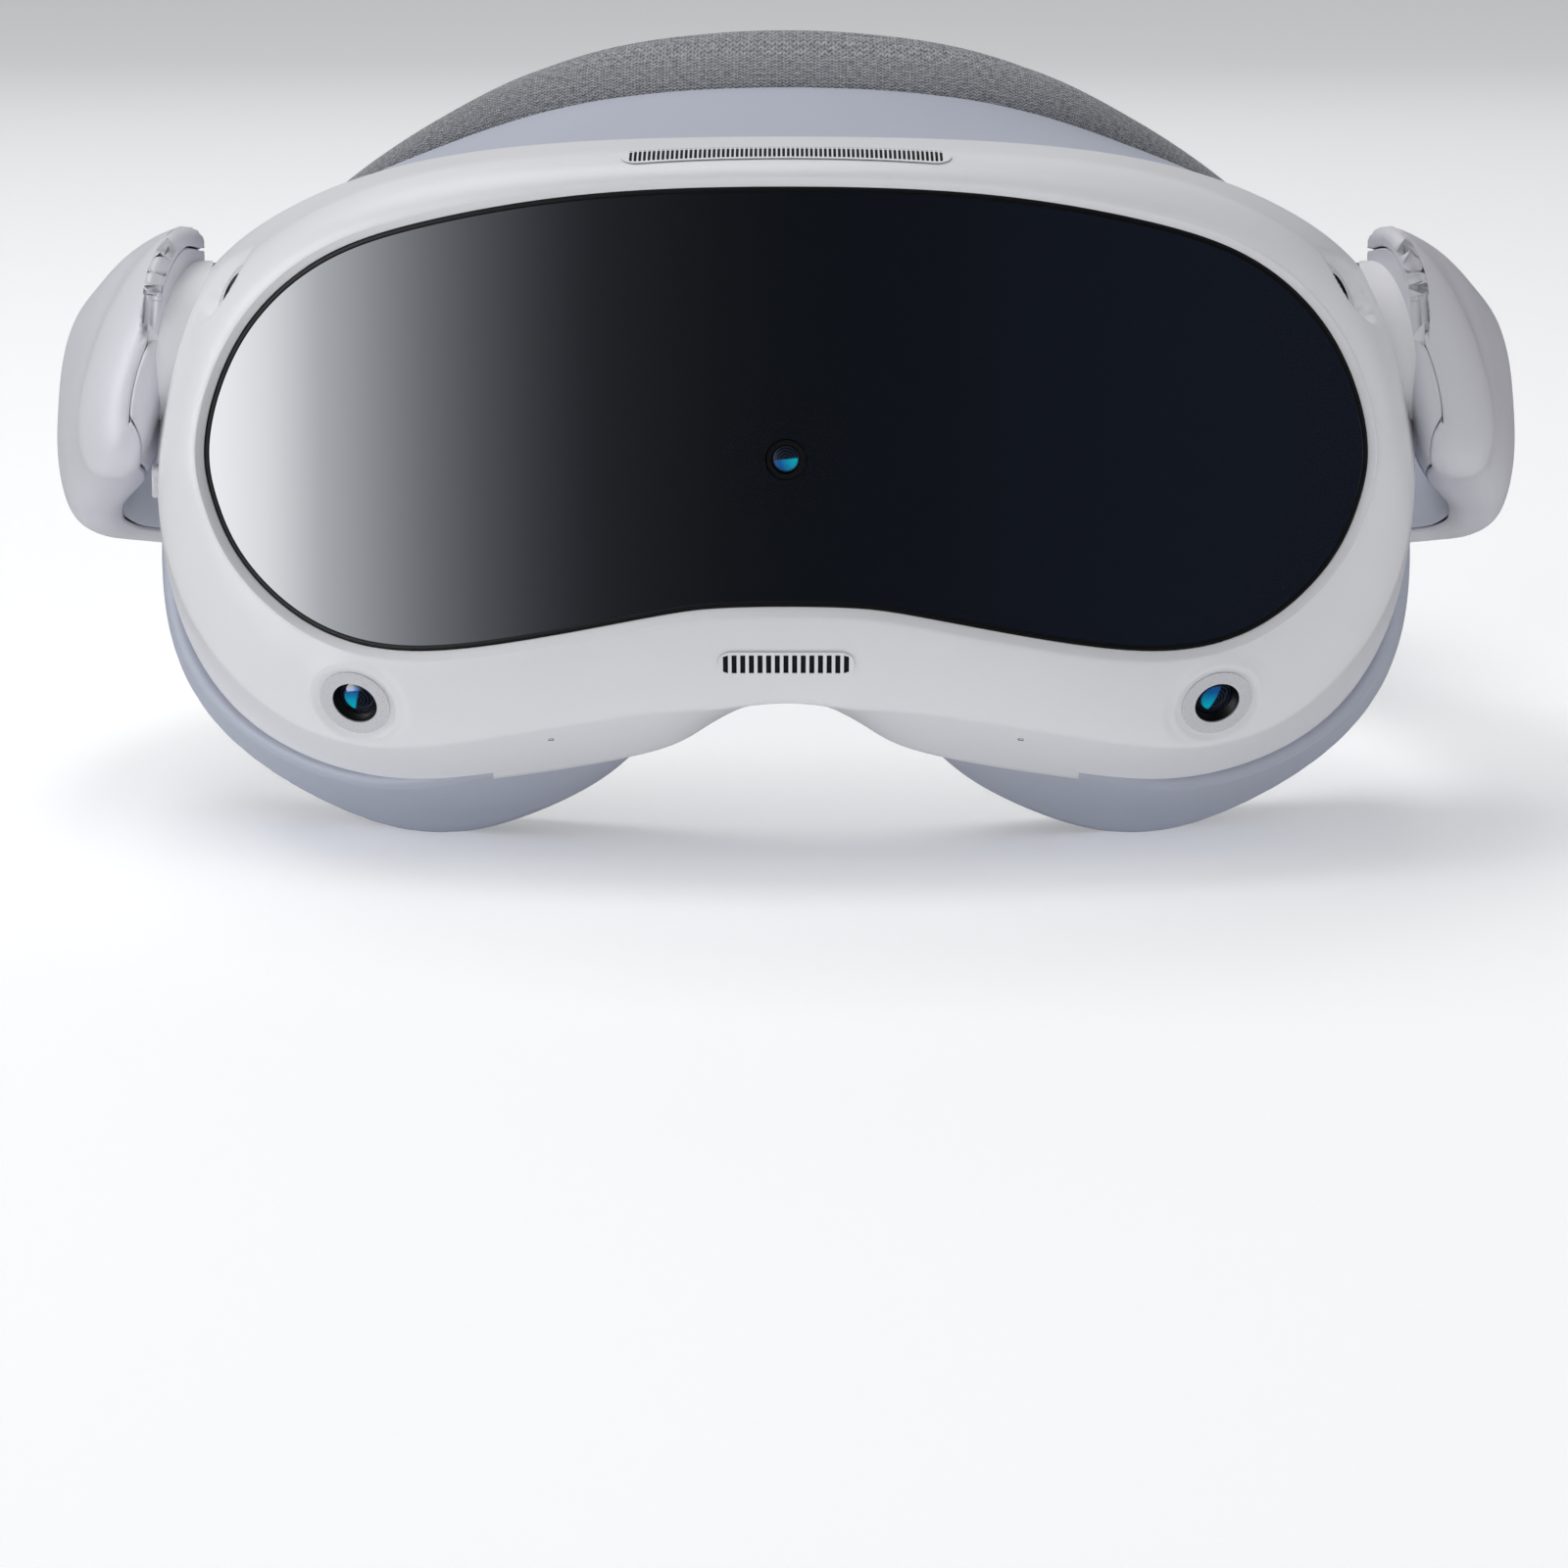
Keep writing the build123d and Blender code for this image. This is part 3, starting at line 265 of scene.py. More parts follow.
def knit(name, dark, light):
    """Melange jersey: rows of V stitches over the surface, mixed light and dark yarn, with painted shade
    darkening the grooves between stitches.
    """
    material, nodes, links, shader = new_material(name, dark, 0.95)
    shader.inputs["Sheen Weight"].default_value = 0.35
    shader.inputs["Sheen Roughness"].default_value = 0.5
    shader.inputs["Specular IOR Level"].default_value = 0.2
    uv = nodes.new("ShaderNodeUVMap")
    uv.uv_map = "weave"
    split = nodes.new("ShaderNodeSeparateXYZ")
    links.new(uv.outputs["UV"], split.inputs["Vector"])

    def math_node(operation, *inputs):
        node = nodes.new("ShaderNodeMath")
        node.operation = operation
        for slot_index, value in enumerate(inputs):
            if isinstance(value, (int, float)):
                node.inputs[slot_index].default_value = value
            else:
                links.new(value, node.inputs[slot_index])
        return node.outputs[0]

    wale = math_node("DIVIDE", split.outputs["X"], WALE_WIDE)
    fold = math_node("ABSOLUTE", math_node("SUBTRACT", math_node("FRACT", wale), 0.5))
    course = math_node("DIVIDE", split.outputs["Y"], COURSE_TALL)
    slanted = math_node("ADD", course, math_node("MULTIPLY", fold, 1.3))
    row_wave = math_node("SINE", math_node("MULTIPLY", slanted, 2 * math.pi))
    wale_wave = math_node("SINE", math_node("MULTIPLY", wale, 4 * math.pi))
    rows_high = math_node("MULTIPLY", row_wave, 0.5)
    wales_high = math_node("MULTIPLY", wale_wave, 0.3)
    height = math_node("ADD", rows_high, wales_high)
    bump = nodes.new("ShaderNodeBump")
    bump.inputs["Strength"].default_value = 0.75
    bump.inputs["Distance"].default_value = 0.0004
    links.new(height, bump.inputs["Height"])
    links.new(bump.outputs["Normal"], shader.inputs["Normal"])
    stretch = nodes.new("ShaderNodeVectorMath")
    stretch.operation = "MULTIPLY"
    stretch.inputs[1].default_value = (1.3, 1.7, 1)
    links.new(uv.outputs["UV"], stretch.inputs[0])
    yarn = nodes.new("ShaderNodeTexNoise")
    yarn.inputs["Scale"].default_value = 0.9
    yarn.inputs["Detail"].default_value = 4
    yarn.inputs["Roughness"].default_value = 0.7
    links.new(stretch.outputs["Vector"], yarn.inputs["Vector"])
    # yarn colour plus the stitch height: painted highlight on the stitches' crowns and painted shade in the
    # grooves
    yarn_with_stitch_shade = math_node("ADD", yarn.outputs["Fac"], math_node("MULTIPLY", height, 0.09))
    ramp = nodes.new("ShaderNodeValToRGB")
    ramp.color_ramp.elements[0].position = 0.36
    ramp.color_ramp.elements[0].color = (*dark, 1)
    ramp.color_ramp.elements[1].position = 0.64
    ramp.color_ramp.elements[1].color = (*light, 1)
    links.new(yarn_with_stitch_shade, ramp.inputs["Fac"])
    links.new(ramp.outputs["Color"], shader.inputs["Base Color"])
    return material


WHITE = moulded("satin_white", (0.84, 0.84, 0.865), 0.36, bump=0.02, Specular_IOR_Level=0.35)
LILAC = moulded("strap_white", (0.72, 0.715, 0.765), 0.42, bump=0.04)
# light grey plastic, darkened and tinted blue as painted shade
GREY_WITH_PAINTED_SHADE = moulded("light_grey_painted_shade", (0.50, 0.53, 0.62), 0.55, grain=1800, bump=0.08)
VISOR_BLACK = moulded("visor_gloss", (0.003, 0.0034, 0.0045), 0.05, grain=900, bump=0.0, vary=0.1, IOR=2.2)
BLACK = moulded("black_plastic", (0.006, 0.006, 0.007), 0.45, bump=0.08, Specular_IOR_Level=0.25)
# near black: painted shade standing in for the inside of holes and slots
PAINTED_SHADE_DARK = moulded("painted_shade_dark", (0.012, 0.012, 0.014), 0.7, bump=0.1, Specular_IOR_Level=0.15)
GRILLE = moulded("grille_grey", (0.16, 0.16, 0.175), 0.45, bump=0.1)
TRIM = moulded("trim_satin", (0.66, 0.66, 0.69), 0.28, bump=0.02)
BOARD = moulded("solder_mask", (0.015, 0.09, 0.04), 0.4, grain=400, vary=0.25)
STEEL = moulded("brushed_steel", (0.55, 0.55, 0.57), 0.32, metallic=1.0, grain=900, bump=0.15)
ALUMINIUM = moulded("anodised", (0.5, 0.5, 0.52), 0.4, metallic=1.0, grain=1200, bump=0.1)
NYLON = moulded("nylon", (0.72, 0.70, 0.64), 0.5, bump=0.1)
RUBBER = moulded("soft_rubber", (0.06, 0.06, 0.065), 0.75, bump=0.2)
BAND_GREY = moulded("band_grey", (0.22, 0.225, 0.25), 0.5, bump=0.15)
WRAP = moulded("cell_wrap", (0.05, 0.09, 0.2), 0.35, bump=0.05)
KNIT = knit("melange_knit", (0.21, 0.215, 0.24), (0.52, 0.525, 0.555))
PANEL = moulded("display_glass", (0.004, 0.004, 0.006), 0.08, bump=0.0)
EYE_GLASS, _, _, _ = new_material("eye_glass", (0.02, 0.022, 0.03), 0.04, Coat_Weight=1.0)

SLOT_MATERIALS = {
    "shell_white": WHITE, "visor_black": VISOR_BLACK, "grille_grey": GRILLE, "black_plastic": BLACK,
    "camera_glass": PANEL, "eye_glass": EYE_GLASS, "trim_white": TRIM, "board_green": BOARD,
    "shield_steel": STEEL, "heat_sink_aluminium": ALUMINIUM, "display_glass": PANEL,
    "microphone_steel": STEEL, "gear_nylon": NYLON, "gasket_grey": GREY_WITH_PAINTED_SHADE, "knit_grey": KNIT,
    "rubber_grey": RUBBER, "band_grey": BAND_GREY, "battery_wrap": WRAP,
}
for subpart in frame["record"]["subparts"]:
    node = frame["nodes"][subpart["node"]]
    for material_slot in node.material_slots:
        material_slot.material = SLOT_MATERIALS[subpart["material_slot"]]

# ---------------------------------------------------------------- tracking cameras' planes
def camera_plane(centre, down, out, side):
    """Centre and view direction of a camera that looks this many degrees down and outwards."""
    level = math.cos(math.radians(down))
    look = np.array([
        side * math.sin(math.radians(out)) * level,
        -math.cos(math.radians(out)) * level,
        -math.sin(math.radians(down)),
    ])
    return np.array(centre, float), look


PODS = []
for side in (-1, 1):
    lower = camera_plane((side * 65.8, FRONT_Y + 11.6, 29.1), 25.0, 17.0, side)
    upper = camera_plane((side * 84.7, FRONT_Y + 25.0, 90.9), -28.0, 67.0, side)
    PODS.append((*lower, 1.0))
    PODS.append((*upper, 0.78))


def smooth_step(value, low, high):
    share = np.clip((value - low) / (high - low), 0, 1)
    return share * share * (3 - 2 * share)


# ---------------------------------------------------------------- bezel
BEZEL_ROWS = 960
FACE_STEPS = 34
BAND_DEEP = 25.0
POD_REACH, WELL_DEEP = 0.016, 0.0030  # metres


def bezel_grid():
    """Lip, rounded face, crease and band of the bezel, then its edge turned inwards at the back."""
    rim = outline(VISOR, BEZEL_ROWS)
    crease = outline(CREASE, BEZEL_ROWS)
    band = outline(BAND, BEZEL_ROWS)
    fall = closed_spline([(v, 0) for v in CREASE_FALL + CREASE_FALL[-2:0:-1]], BEZEL_ROWS)[:, 0]
    out = outward(rim)
    columns = [place(rim, visor_depth(rim[:, 0]) + 2.0)]
    for away, behind in ((0.02, 1.5), (0.08, 1.35), (0.5, 0.9), (0.9, 0.45), (1.15, 0.17), (1.3, 0.06)):
        columns.append(place(rim + out * away, visor_depth(rim[:, 0]) - LIP + behind))
    lip = rim + out * 1.5
    gap = crease - lip
    # full ellipse quarter where the face is narrow, flatter towards the chin
    power = 1.35 + 0.65 * smooth_step(fall, 6.0, 10.0)
    for step in range(FACE_STEPS):
        share = step / (FACE_STEPS - 1)
        height = 1 - (1 - share**power) ** (1 / power)
        loop = lip + gap * share
        depth = visor_depth(loop[:, 0]) - LIP + (fall + LIP) * height
        columns.append(place(loop, depth))
    for share in (0.04, 0.1, 0.2, 0.35, 0.5, 0.65, 0.8, 0.9, 0.97):
        loop = crease + (band - crease) * share
        front = visor_depth(crease[:, 0]) + fall
        rear = visor_depth(band[:, 0]) + BAND_DEEP - 0.1
        columns.append(place(loop, front + (rear - front) * share))
    rear_out = outward(band)
    rear = visor_depth(band[:, 0]) + BAND_DEEP
    columns.append(place(band - rear_out * 0.25, rear))
    columns.append(place(band - rear_out * 2.3, rear))
    columns.append(place(band - rear_out * 2.5, rear - 3))
    return np.stack(columns, axis=1)


def shape_pods(points):
    """Raise and flatten the skin round each camera, and sink a well that its ring stands in."""
    for centre, look, scale in PODS:
        centre = centre * MM
        reach = points - centre
        height = reach @ look
        radius = np.linalg.norm(reach - height[..., None] * look, axis=-1) / (MM * scale)
        near = np.linalg.norm(reach, axis=-1) < POD_REACH
        flat = (1 - smooth_step(radius, 6.9, 9.4)) * near
        points += (flat * (0.0001 - height))[..., None] * look
        crest = np.exp(-(((radius - 7.1) / 0.5) ** 2)) * 0.32
        groove = np.exp(-(((radius - 6.25) / 0.3) ** 2)) * 0.2
        points += ((crest - groove) * near * MM)[..., None] * look
        well = (1 - smooth_step(radius, 4.2, 5.3)) * near
        points -= (well * WELL_DEEP)[..., None] * look
    return points


bezel_points = shape_pods(bezel_grid())
bezel = grid_mesh("bezel_skin", bezel_points)
dress(bezel, "front_unit", WHITE, "shell_white", "front_bezel")
bezel_tree = BVHTree.FromPolygons(
    [Vector(v.co) for v in bezel.data.vertices], [tuple(p.vertices) for p in bezel.data.polygons]
)


def on_bezel(start, direction):
    hit, normal, _, _ = bezel_tree.ray_cast(Vector(start), Vector(direction))
    return hit, normal


# ---------------------------------------------------------------- camera eyes
def lens_painted_reflection():
    """Black glass with a blue to cyan sweep on one side, a painted reflection standing in for the coating's
    coloured glint, and faint rings.
    """
    material, nodes, links, shader = new_material("lens_painted_reflection", (0.004, 0.006, 0.012), 0.12)
    shader.inputs["Coat Weight"].default_value = 0.6
    shader.inputs["Coat Roughness"].default_value = 0.05
    uv = nodes.new("ShaderNodeUVMap")
    uv.uv_map = "face"
    split = nodes.new("ShaderNodeSeparateXYZ")
    links.new(uv.outputs["UV"], split.inputs["Vector"])

    def step(operation, first, second=0.0, third=0.0):
        node = nodes.new("ShaderNodeMath")
        node.operation = operation
        node.use_clamp = operation == "MULTIPLY_ADD"
        for place_in, value in enumerate((first, second, third)):
            if isinstance(value, (int, float)):
                node.inputs[place_in].default_value = value
            else:
                links.new(value, node.inputs[place_in])
        return node.outputs[0]

    across, up = split.outputs["X"], split.outputs["Y"]
    radius = step("SQRT", step("ADD", step("MULTIPLY", across, across), step("MULTIPLY", up, up)))
    # the side of the glass that carries the painted reflection
    reflection_side = step("MULTIPLY_ADD", step("SUBTRACT", step("MULTIPLY", up, 0.35), across), 9.0, 0.5)
    inside = step("MULTIPLY_ADD", step("SUBTRACT", 0.74, radius), 14.0, 0.5)
    rings = step("MULTIPLY", step("ADD", step("SINE", step("MULTIPLY", radius, 34.0)), 1.0), 0.5)
    reflection_hue = nodes.new("ShaderNodeValToRGB")
    reflection_hue.color_ramp.elements[0].position = 0.25
    reflection_hue.color_ramp.elements[0].color = (0.0, 0.62, 0.78, 1)
    reflection_hue.color_ramp.elements[1].position = 0.72
    reflection_hue.color_ramp.elements[1].color = (0.01, 0.13, 0.45, 1)
    links.new(step("MULTIPLY_ADD", up, 0.5, 0.5), reflection_hue.inputs["Fac"])
    dark = nodes.new("ShaderNodeMix")
    dark.data_type = "RGBA"
    dark.inputs["A"].default_value = (0.003, 0.004, 0.008, 1)
    dark.inputs["B"].default_value = (0.02, 0.028, 0.05, 1)
    links.new(rings, dark.inputs["Factor"])
    # painted reflection laid over the dark glass
    blend = nodes.new("ShaderNodeMix")
    blend.data_type = "RGBA"
    links.new(step("MULTIPLY", reflection_side, inside), blend.inputs["Factor"])
    links.new(dark.outputs["Result"], blend.inputs["A"])
    links.new(reflection_hue.outputs["Color"], blend.inputs["B"])
    links.new(blend.outputs["Result"], shader.inputs["Base Color"])
    return material


LENS_PAINTED_REFLECTION = lens_painted_reflection()
EYE_AROUND = 72
GLASS_EDGE = 0.80  # radius of the glass as a share of the tube's


def camera_eye(name, centre, look, outer, deep, turn=0.0):
    """Black tube with two ledges, and the domed glass in it, which is returned."""
    look = Vector(look).normalized()
    right = Vector((0, 0, 1)).cross(look).normalized()
    up = look.cross(right)
    centre = Vector(centre) * MM
    profile = [(1.0, 0.15), (0.985, 0.05), (0.93, -0.55 * deep), (0.86, -0.62 * deep), (0.82, -0.95 * deep)]
    glass = [(GLASS_EDGE, -1.0 * deep), (0.7, -0.86 * deep), (0.55, -0.7 * deep), (0.36, -0.56 * deep),
             (0.16, -0.48 * deep), (0.02, -0.46 * deep)]
    for part_name, rings, material, slot_name in (
        ("tube", profile, BLACK, "black_plastic"), ("glass", glass, LENS_PAINTED_REFLECTION, "camera_glass"),
    ):
        grid = []
        for step in range(EYE_AROUND):
            angle = 2 * math.pi * step / EYE_AROUND
            row = []
            for share, height in rings:
                spot_at = centre + (right * math.cos(angle) + up * math.sin(angle)) * (outer * share * MM)
                row.append(tuple(spot_at + look * (height * MM)))
            grid.append(row)
        piece = grid_mesh(f"{name}_{part_name}", np.array(grid))
        layer = piece.data.uv_layers.new(name="face")
        for face in piece.data.polygons:
            for loop_index in face.loop_indices:
                vertex = piece.data.loops[loop_index].vertex_index
                angle = 2 * math.pi * (vertex // len(rings)) / EYE_AROUND + turn
                share = rings[vertex % len(rings)][0] / GLASS_EDGE
                layer.data[loop_index].uv = (share * math.cos(angle), share * math.sin(angle))
        dress(piece, "front_unit", material, slot_name)
    return piece


for index, (centre, look, scale) in enumerate(PODS):
    side_name = "left" if index < 2 else "right"
    if index % 2 == 0:
        glass = camera_eye(f"eye_lower_{side_name}", centre, look, 3.55 * scale, 1.3)
    else:
        glass = camera_eye(f"eye_upper_{side_name}", centre + look * 0.3, look, 3.55 * scale, 0.35)
    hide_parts("tracking_camera_lenses")
center_glass = camera_eye("eye_center", (0, FRONT_Y - 0.12, 68.1), (0, -1, 0), 3.0, 0.8, math.radians(-115))
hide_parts("center_camera_lens")


# ---------------------------------------------------------------- dark edge of the visor
def edge_grid():
    """Narrow black rim over the joint between the visor and the bezel's lip."""
    rim = outline(VISOR, BEZEL_ROWS)
    out = outward(rim)
    columns = []
    for away, behind in ((-0.85, 0.0), (-0.8, -0.06), (-0.05, -0.08), (0.03, 0.4)):
        loop = rim + out * away
        columns.append(place(loop, visor_depth(loop[:, 0]) + behind))
    return np.stack(columns, axis=1)


dress(grid_mesh("visor_edge", edge_grid()), "front_unit", BLACK, "visor_black")


# ---------------------------------------------------------------- vents
def vent(name, centre, direction, node, bars, pitch, slot_wide, slot_tall, plate_long, plate_tall):
    """Pill-shaped insert on the bezel with a row of upright slots through it, over a dark bed that is
    painted shade for the inside of the slots.
    """
    direction = Vector(direction).normalized()
    hit, normal = on_bezel(Vector(centre) * MM - direction * 0.03, direction)
    up = Vector((1, 0, 0)).cross(direction).normalized()
    if up.z < 0:
        up = -up

    def spot(x, z, lift):
        start = hit + Vector((1, 0, 0)) * (x * MM) + up * (z * MM) - direction * 0.02
        found, face = on_bezel(start, direction)
        if face.dot(direction) > 0:
            face = -face
        return found + face * (lift * MM)

    edges = [-plate_long / 2]
    for bar in range(bars):
        middle = (bar - (bars - 1) / 2) * pitch
        edges += [middle - slot_wide / 2, middle + slot_wide / 2]
    edges.append(plate_long / 2)
    mesh_points = []
    faces = []

    def half_height(x):
        past = abs(x) - (plate_long / 2 - plate_tall / 2)
        return plate_tall / 2 if past <= 0 else math.sqrt(max((plate_tall / 2) ** 2 - past**2, 0.01))

    def slot_half(x):
        return max(min(slot_tall / 2, half_height(x) - 0.35), 0.1)

    def strip(x0, x1, low, high, cuts):
        for cut in range(cuts):
            first = len(mesh_points)
            for x, share in ((x0, cut), (x1, cut), (x1, cut + 1), (x0, cut + 1)):
                z = low(x) + (high(x) - low(x)) * share / cuts
                mesh_points.append(spot(x, z, 0.25))
            faces.append((first, first + 1, first + 2, first + 3))

    for index in range(len(edges) - 1):
        x0, x1 = edges[index], edges[index + 1]
        if index % 2 == 1:
            strip(x0, x1, slot_half, half_height, 2)
            strip(x0, x1, lambda x: -half_height(x), lambda x: -slot_half(x), 2)
        else:
            pieces = max(int((x1 - x0) / 0.15), 1) if index in (0, len(edges) - 2) else 1
            for piece in range(pieces):
                left = x0 + (x1 - x0) * piece / pieces
                right = x0 + (x1 - x0) * (piece + 1) / pieces
                strip(left, right, lambda x: -half_height(x), half_height, 8)
    mesh = bpy.data.meshes.new(name)
    mesh.from_pydata([tuple(p) for p in mesh_points], [], faces)
    piece = linked(name, mesh)
    shape = bmesh.new()
    shape.from_mesh(mesh)
    bmesh.ops.remove_doubles(shape, verts=shape.verts, dist=0.00001)
    bmesh.ops.recalc_face_normals(shape, faces=shape.faces)
    shape.to_mesh(mesh)
    shape.free()
    solid = piece.modifiers.new("thick", "SOLIDIFY")
    solid.thickness = 0.0001
    solid.offset = 0
    dress(piece, "front_unit", WHITE, "grille_grey", node)
    # dark sheet just under the plate: painted shade seen through the slots
    bed_half = (edges[-2] - edges[1]) / 2 + 0.2
    bed = []
    bed_faces = []
    count, levels = 48, 9
    for column in range(count + 1):
        x = -bed_half + 2 * bed_half * column / count
        for level in range(levels):
            bed.append(tuple(spot(x, 2 * (slot_half(x) + 0.1) * (level / (levels - 1) - 0.5), 0.06)))
            if column and level:
                last = column * levels + level
                bed_faces.append((last - levels - 1, last - 1, last, last - levels))
    bed_mesh = bpy.data.meshes.new(name + "_painted_shade_bed")
    bed_mesh.from_pydata(bed, [], bed_faces)
    bed_piece = linked(name + "_painted_shade_bed", bed_mesh)
    bed_thick = bed_piece.modifiers.new("thick", "SOLIDIFY")
    bed_thick.thickness = 0.00004
    dress(bed_piece, "front_unit", PAINTED_SHADE_DARK, "grille_grey")


vent(
    "top_vent", (0, FRONT_Y + 4.6, 112.6), (0, 0.55, -0.83), "top_vent_grille",
    bars=68, pitch=0.69, slot_wide=0.42, slot_tall=4.6, plate_long=49.4, plate_tall=5.4,
)
vent(
    "bottom_vent", (0, FRONT_Y + 3, 37.3), (0, 1, 0.12), "bottom_vent_grille",
    bars=15, pitch=1.3, slot_wide=0.76, slot_tall=3.1, plate_long=20.6, plate_tall=4.1,
)

# ---------------------------------------------------------------- small openings
DOT_AROUND = 28


def dot(name, hit, normal, long, tall, body, lean=0.0):
    """Small dark rounded patch laid on a surface: painted shade standing in for the inside of an opening.
    """
    normal = Vector(normal).normalized()
    across = Vector((0, 0, 1)).cross(normal).normalized()
    up = normal.cross(across)
    leaning = across * math.cos(lean) + up * math.sin(lean)
    up = up * math.cos(lean) - across * math.sin(lean)
    lift = normal * 0.05 * MM
    grid = []
    for step in range(DOT_AROUND):
        angle = 2 * math.pi * step / DOT_AROUND
        along = squared(math.cos(angle), 0.6) * long / 2
        high = squared(math.sin(angle), 0.6) * tall / 2
        edge = hit + (leaning * along + up * high) * MM
        row = [tuple(edge + lift)]
        for edge_share, middle_share in ((0.7, 0.3), (0.02, 0.98)):
            row.append(tuple(edge * edge_share + hit * middle_share - lift))
        grid.append(row)
    dress(grid_mesh(name, np.array(grid)), body, PAINTED_SHADE_DARK, "black_plastic")


for side, side_name in ((-1, "left"), (1, "right")):
    hit, normal = on_bezel((side * 36 * MM, FRONT_Y * MM - 0.03, 23.0 * MM), (0, 1, 0))
    if normal.y > 0:
        normal = -normal
    dot(f"microphone_hole_{side_name}", hit + normal * 0.03 * MM, normal, 0.9, 0.9, "front_unit")

# ---------------------------------------------------------------- gasket
GASKET_ROWS = 480
GASKET_START = 21.0  # how far behind the visor the shell starts
GASKET_THICK = 2.2
SETTLE_ROUNDS = 4


def form_at(form, depth):
    """Outline of a form given at three depths, at one depth for each row."""
    at = sorted(form)
    front, middle, back = (outline(form[key], GASKET_ROWS) for key in at)
    first = front + (middle - front) * ((depth - at[0]) / (at[1] - at[0]))[:, None]
    second = middle + (back - middle) * ((depth - at[1]) / (at[2] - at[1]))[:, None]
    blend = smooth_step(depth, at[1] - 6, at[1] + 6)[:, None]
    return first * (1 - blend) + second * blend


def settle(function, start_x, form=GASKET):
    """Loop whose depth depends on its own x, found by a few rounds."""
    depth = function(start_x)
    for _ in range(SETTLE_ROUNDS):
        loop = form_at(form, depth)
        depth = function(loop[:, 0])
    return loop, depth


def gasket_front(x):
    """Depth of the shell's front edge, hidden inside the bezel's band."""
    return VISOR_R - np.sqrt((VISOR_R - GASKET_START) ** 2 - np.clip(x, -99, 99) ** 2)


def gasket_grid():
    """Outer wall from the band to the rear rim, the rounded rim, and the inner wall back again."""
    base_x = outline(GASKET[52.0], GASKET_ROWS)[:, 0]
    columns = []
    for share in np.linspace(0, 1, 16):

        def depth_of(x, share=share):
            return gasket_front(x) * (1 - share) + (rim_depth(x) - 0.8) * share

        columns.append(settle(depth_of, base_x))
    loop, depth = columns[-1]
    out = outward(loop)
    points = [place(loop_i, depth_i) for loop_i, depth_i in columns]
    points.append(place(loop - out * 0.25, depth + 0.55))
    points.append(place(loop - out * 0.8, depth + 0.8))
    points.append(place(loop - out * 2.0, depth + 0.8))
    for loop_i, depth_i in reversed(columns):
        points.append(place(loop_i - outward(loop_i) * GASKET_THICK, depth_i))
    return np.stack(points, axis=1)


gasket = grid_mesh("gasket_shell", gasket_grid(), wrap_columns=True)
# the gasket's light grey carries the blue-grey painted shade
dress(gasket, "front_unit", GREY_WITH_PAINTED_SHADE, "gasket_grey", "gasket_frame")


# ---------------------------------------------------------------- face cushion
CUSHION_AROUND = 28
CUSHION_SEAM = (20, 21, 22)  # points of each section that stay on the rim
SWELL_FRAMES = 20
SWELL_CAP = 0.0009  # metres


def cushion_grid():
    """Closed ring whose section is a crowned pad between the rim and the face."""
    base_x = outline(GASKET[52.0], GASKET_ROWS)[:, 0]
    points = []
    for step in range(CUSHION_AROUND):
        angle = 2 * math.pi * step / CUSHION_AROUND
        across = squared(math.cos(angle), 0.62)
        back = squared(math.sin(angle), 0.62)
        push = CUSHION_DEEP * (0.5 + 0.5 * back)

        def depth_of(x, push=push):
            return rim_depth(x, RIM_R - 0.3 - push * 0.97)

        loop, depth = settle(depth_of, base_x, CUSHION)
        inwards = 0.7 + CUSHION_WIDE * (0.5 - 0.5 * across)
        points.append(place(loop - outward(loop) * inwards, depth))
    return np.stack(points, axis=1)


def swell(piece, fixed, cap):
    """Let air pressure fill the knit cover, and keep the result with each point moved by less than cap."""
    group = piece.vertex_groups.new(name="fixed")
    group.add(fixed, 1.0, "REPLACE")
    before = np.array([v.co for v in piece.data.vertices])
    cover = piece.modifiers.new("cover", "CLOTH")
    cloth = cover.settings
    cloth.quality = 5
    cloth.mass = 0.2
    cloth.tension_stiffness = 30
    cloth.compression_stiffness = 30
    cloth.bending_stiffness = 4
    cloth.use_pressure = True
    cloth.uniform_pressure_force = 4
    cloth.vertex_group_mass = "fixed"
    cloth.effector_weights.gravity = 0
    cover.collision_settings.use_collision = False
    cover.point_cache.frame_start = 1
    cover.point_cache.frame_end = SWELL_FRAMES
    for moment in range(1, SWELL_FRAMES + 1):
        bpy.context.scene.frame_set(moment)
    settled = piece.evaluated_get(bpy.context.evaluated_depsgraph_get())
    after = np.array([v.co for v in settled.data.vertices])
    piece.modifiers.remove(cover)
    bpy.context.scene.frame_set(1)
    moved = np.nan_to_num(after - before)
    length = np.linalg.norm(moved, axis=1)[:, None]
    kept = before + moved * cap / (cap + length)
    piece.data.vertices.foreach_set("co", kept.ravel())
    piece.data.update()


cushion = grid_mesh("face_cushion_knit", cushion_grid(), wrap_columns=True, uv_scale=(560, 56))
seam = [v.index for v in cushion.data.vertices if v.index % CUSHION_AROUND in CUSHION_SEAM]
swell(cushion, seam, SWELL_CAP)
dress(cushion, "front_unit", KNIT, "knit_grey", "face_cushion", "nose_flap")

# ---------------------------------------------------------------- rear pad
CUP_FRONT = [
    (-86.2, 180), (-84, 195), (-77.5, 210), (-62, 224.5), (-38, 233.5), (0, 236),
    (38, 233.5), (62, 224.5), (77.5, 210), (84, 195), (86.2, 180),
]


PAD_ALONG, PAD_AROUND = 150, 44
PAD_THICK = 12.0


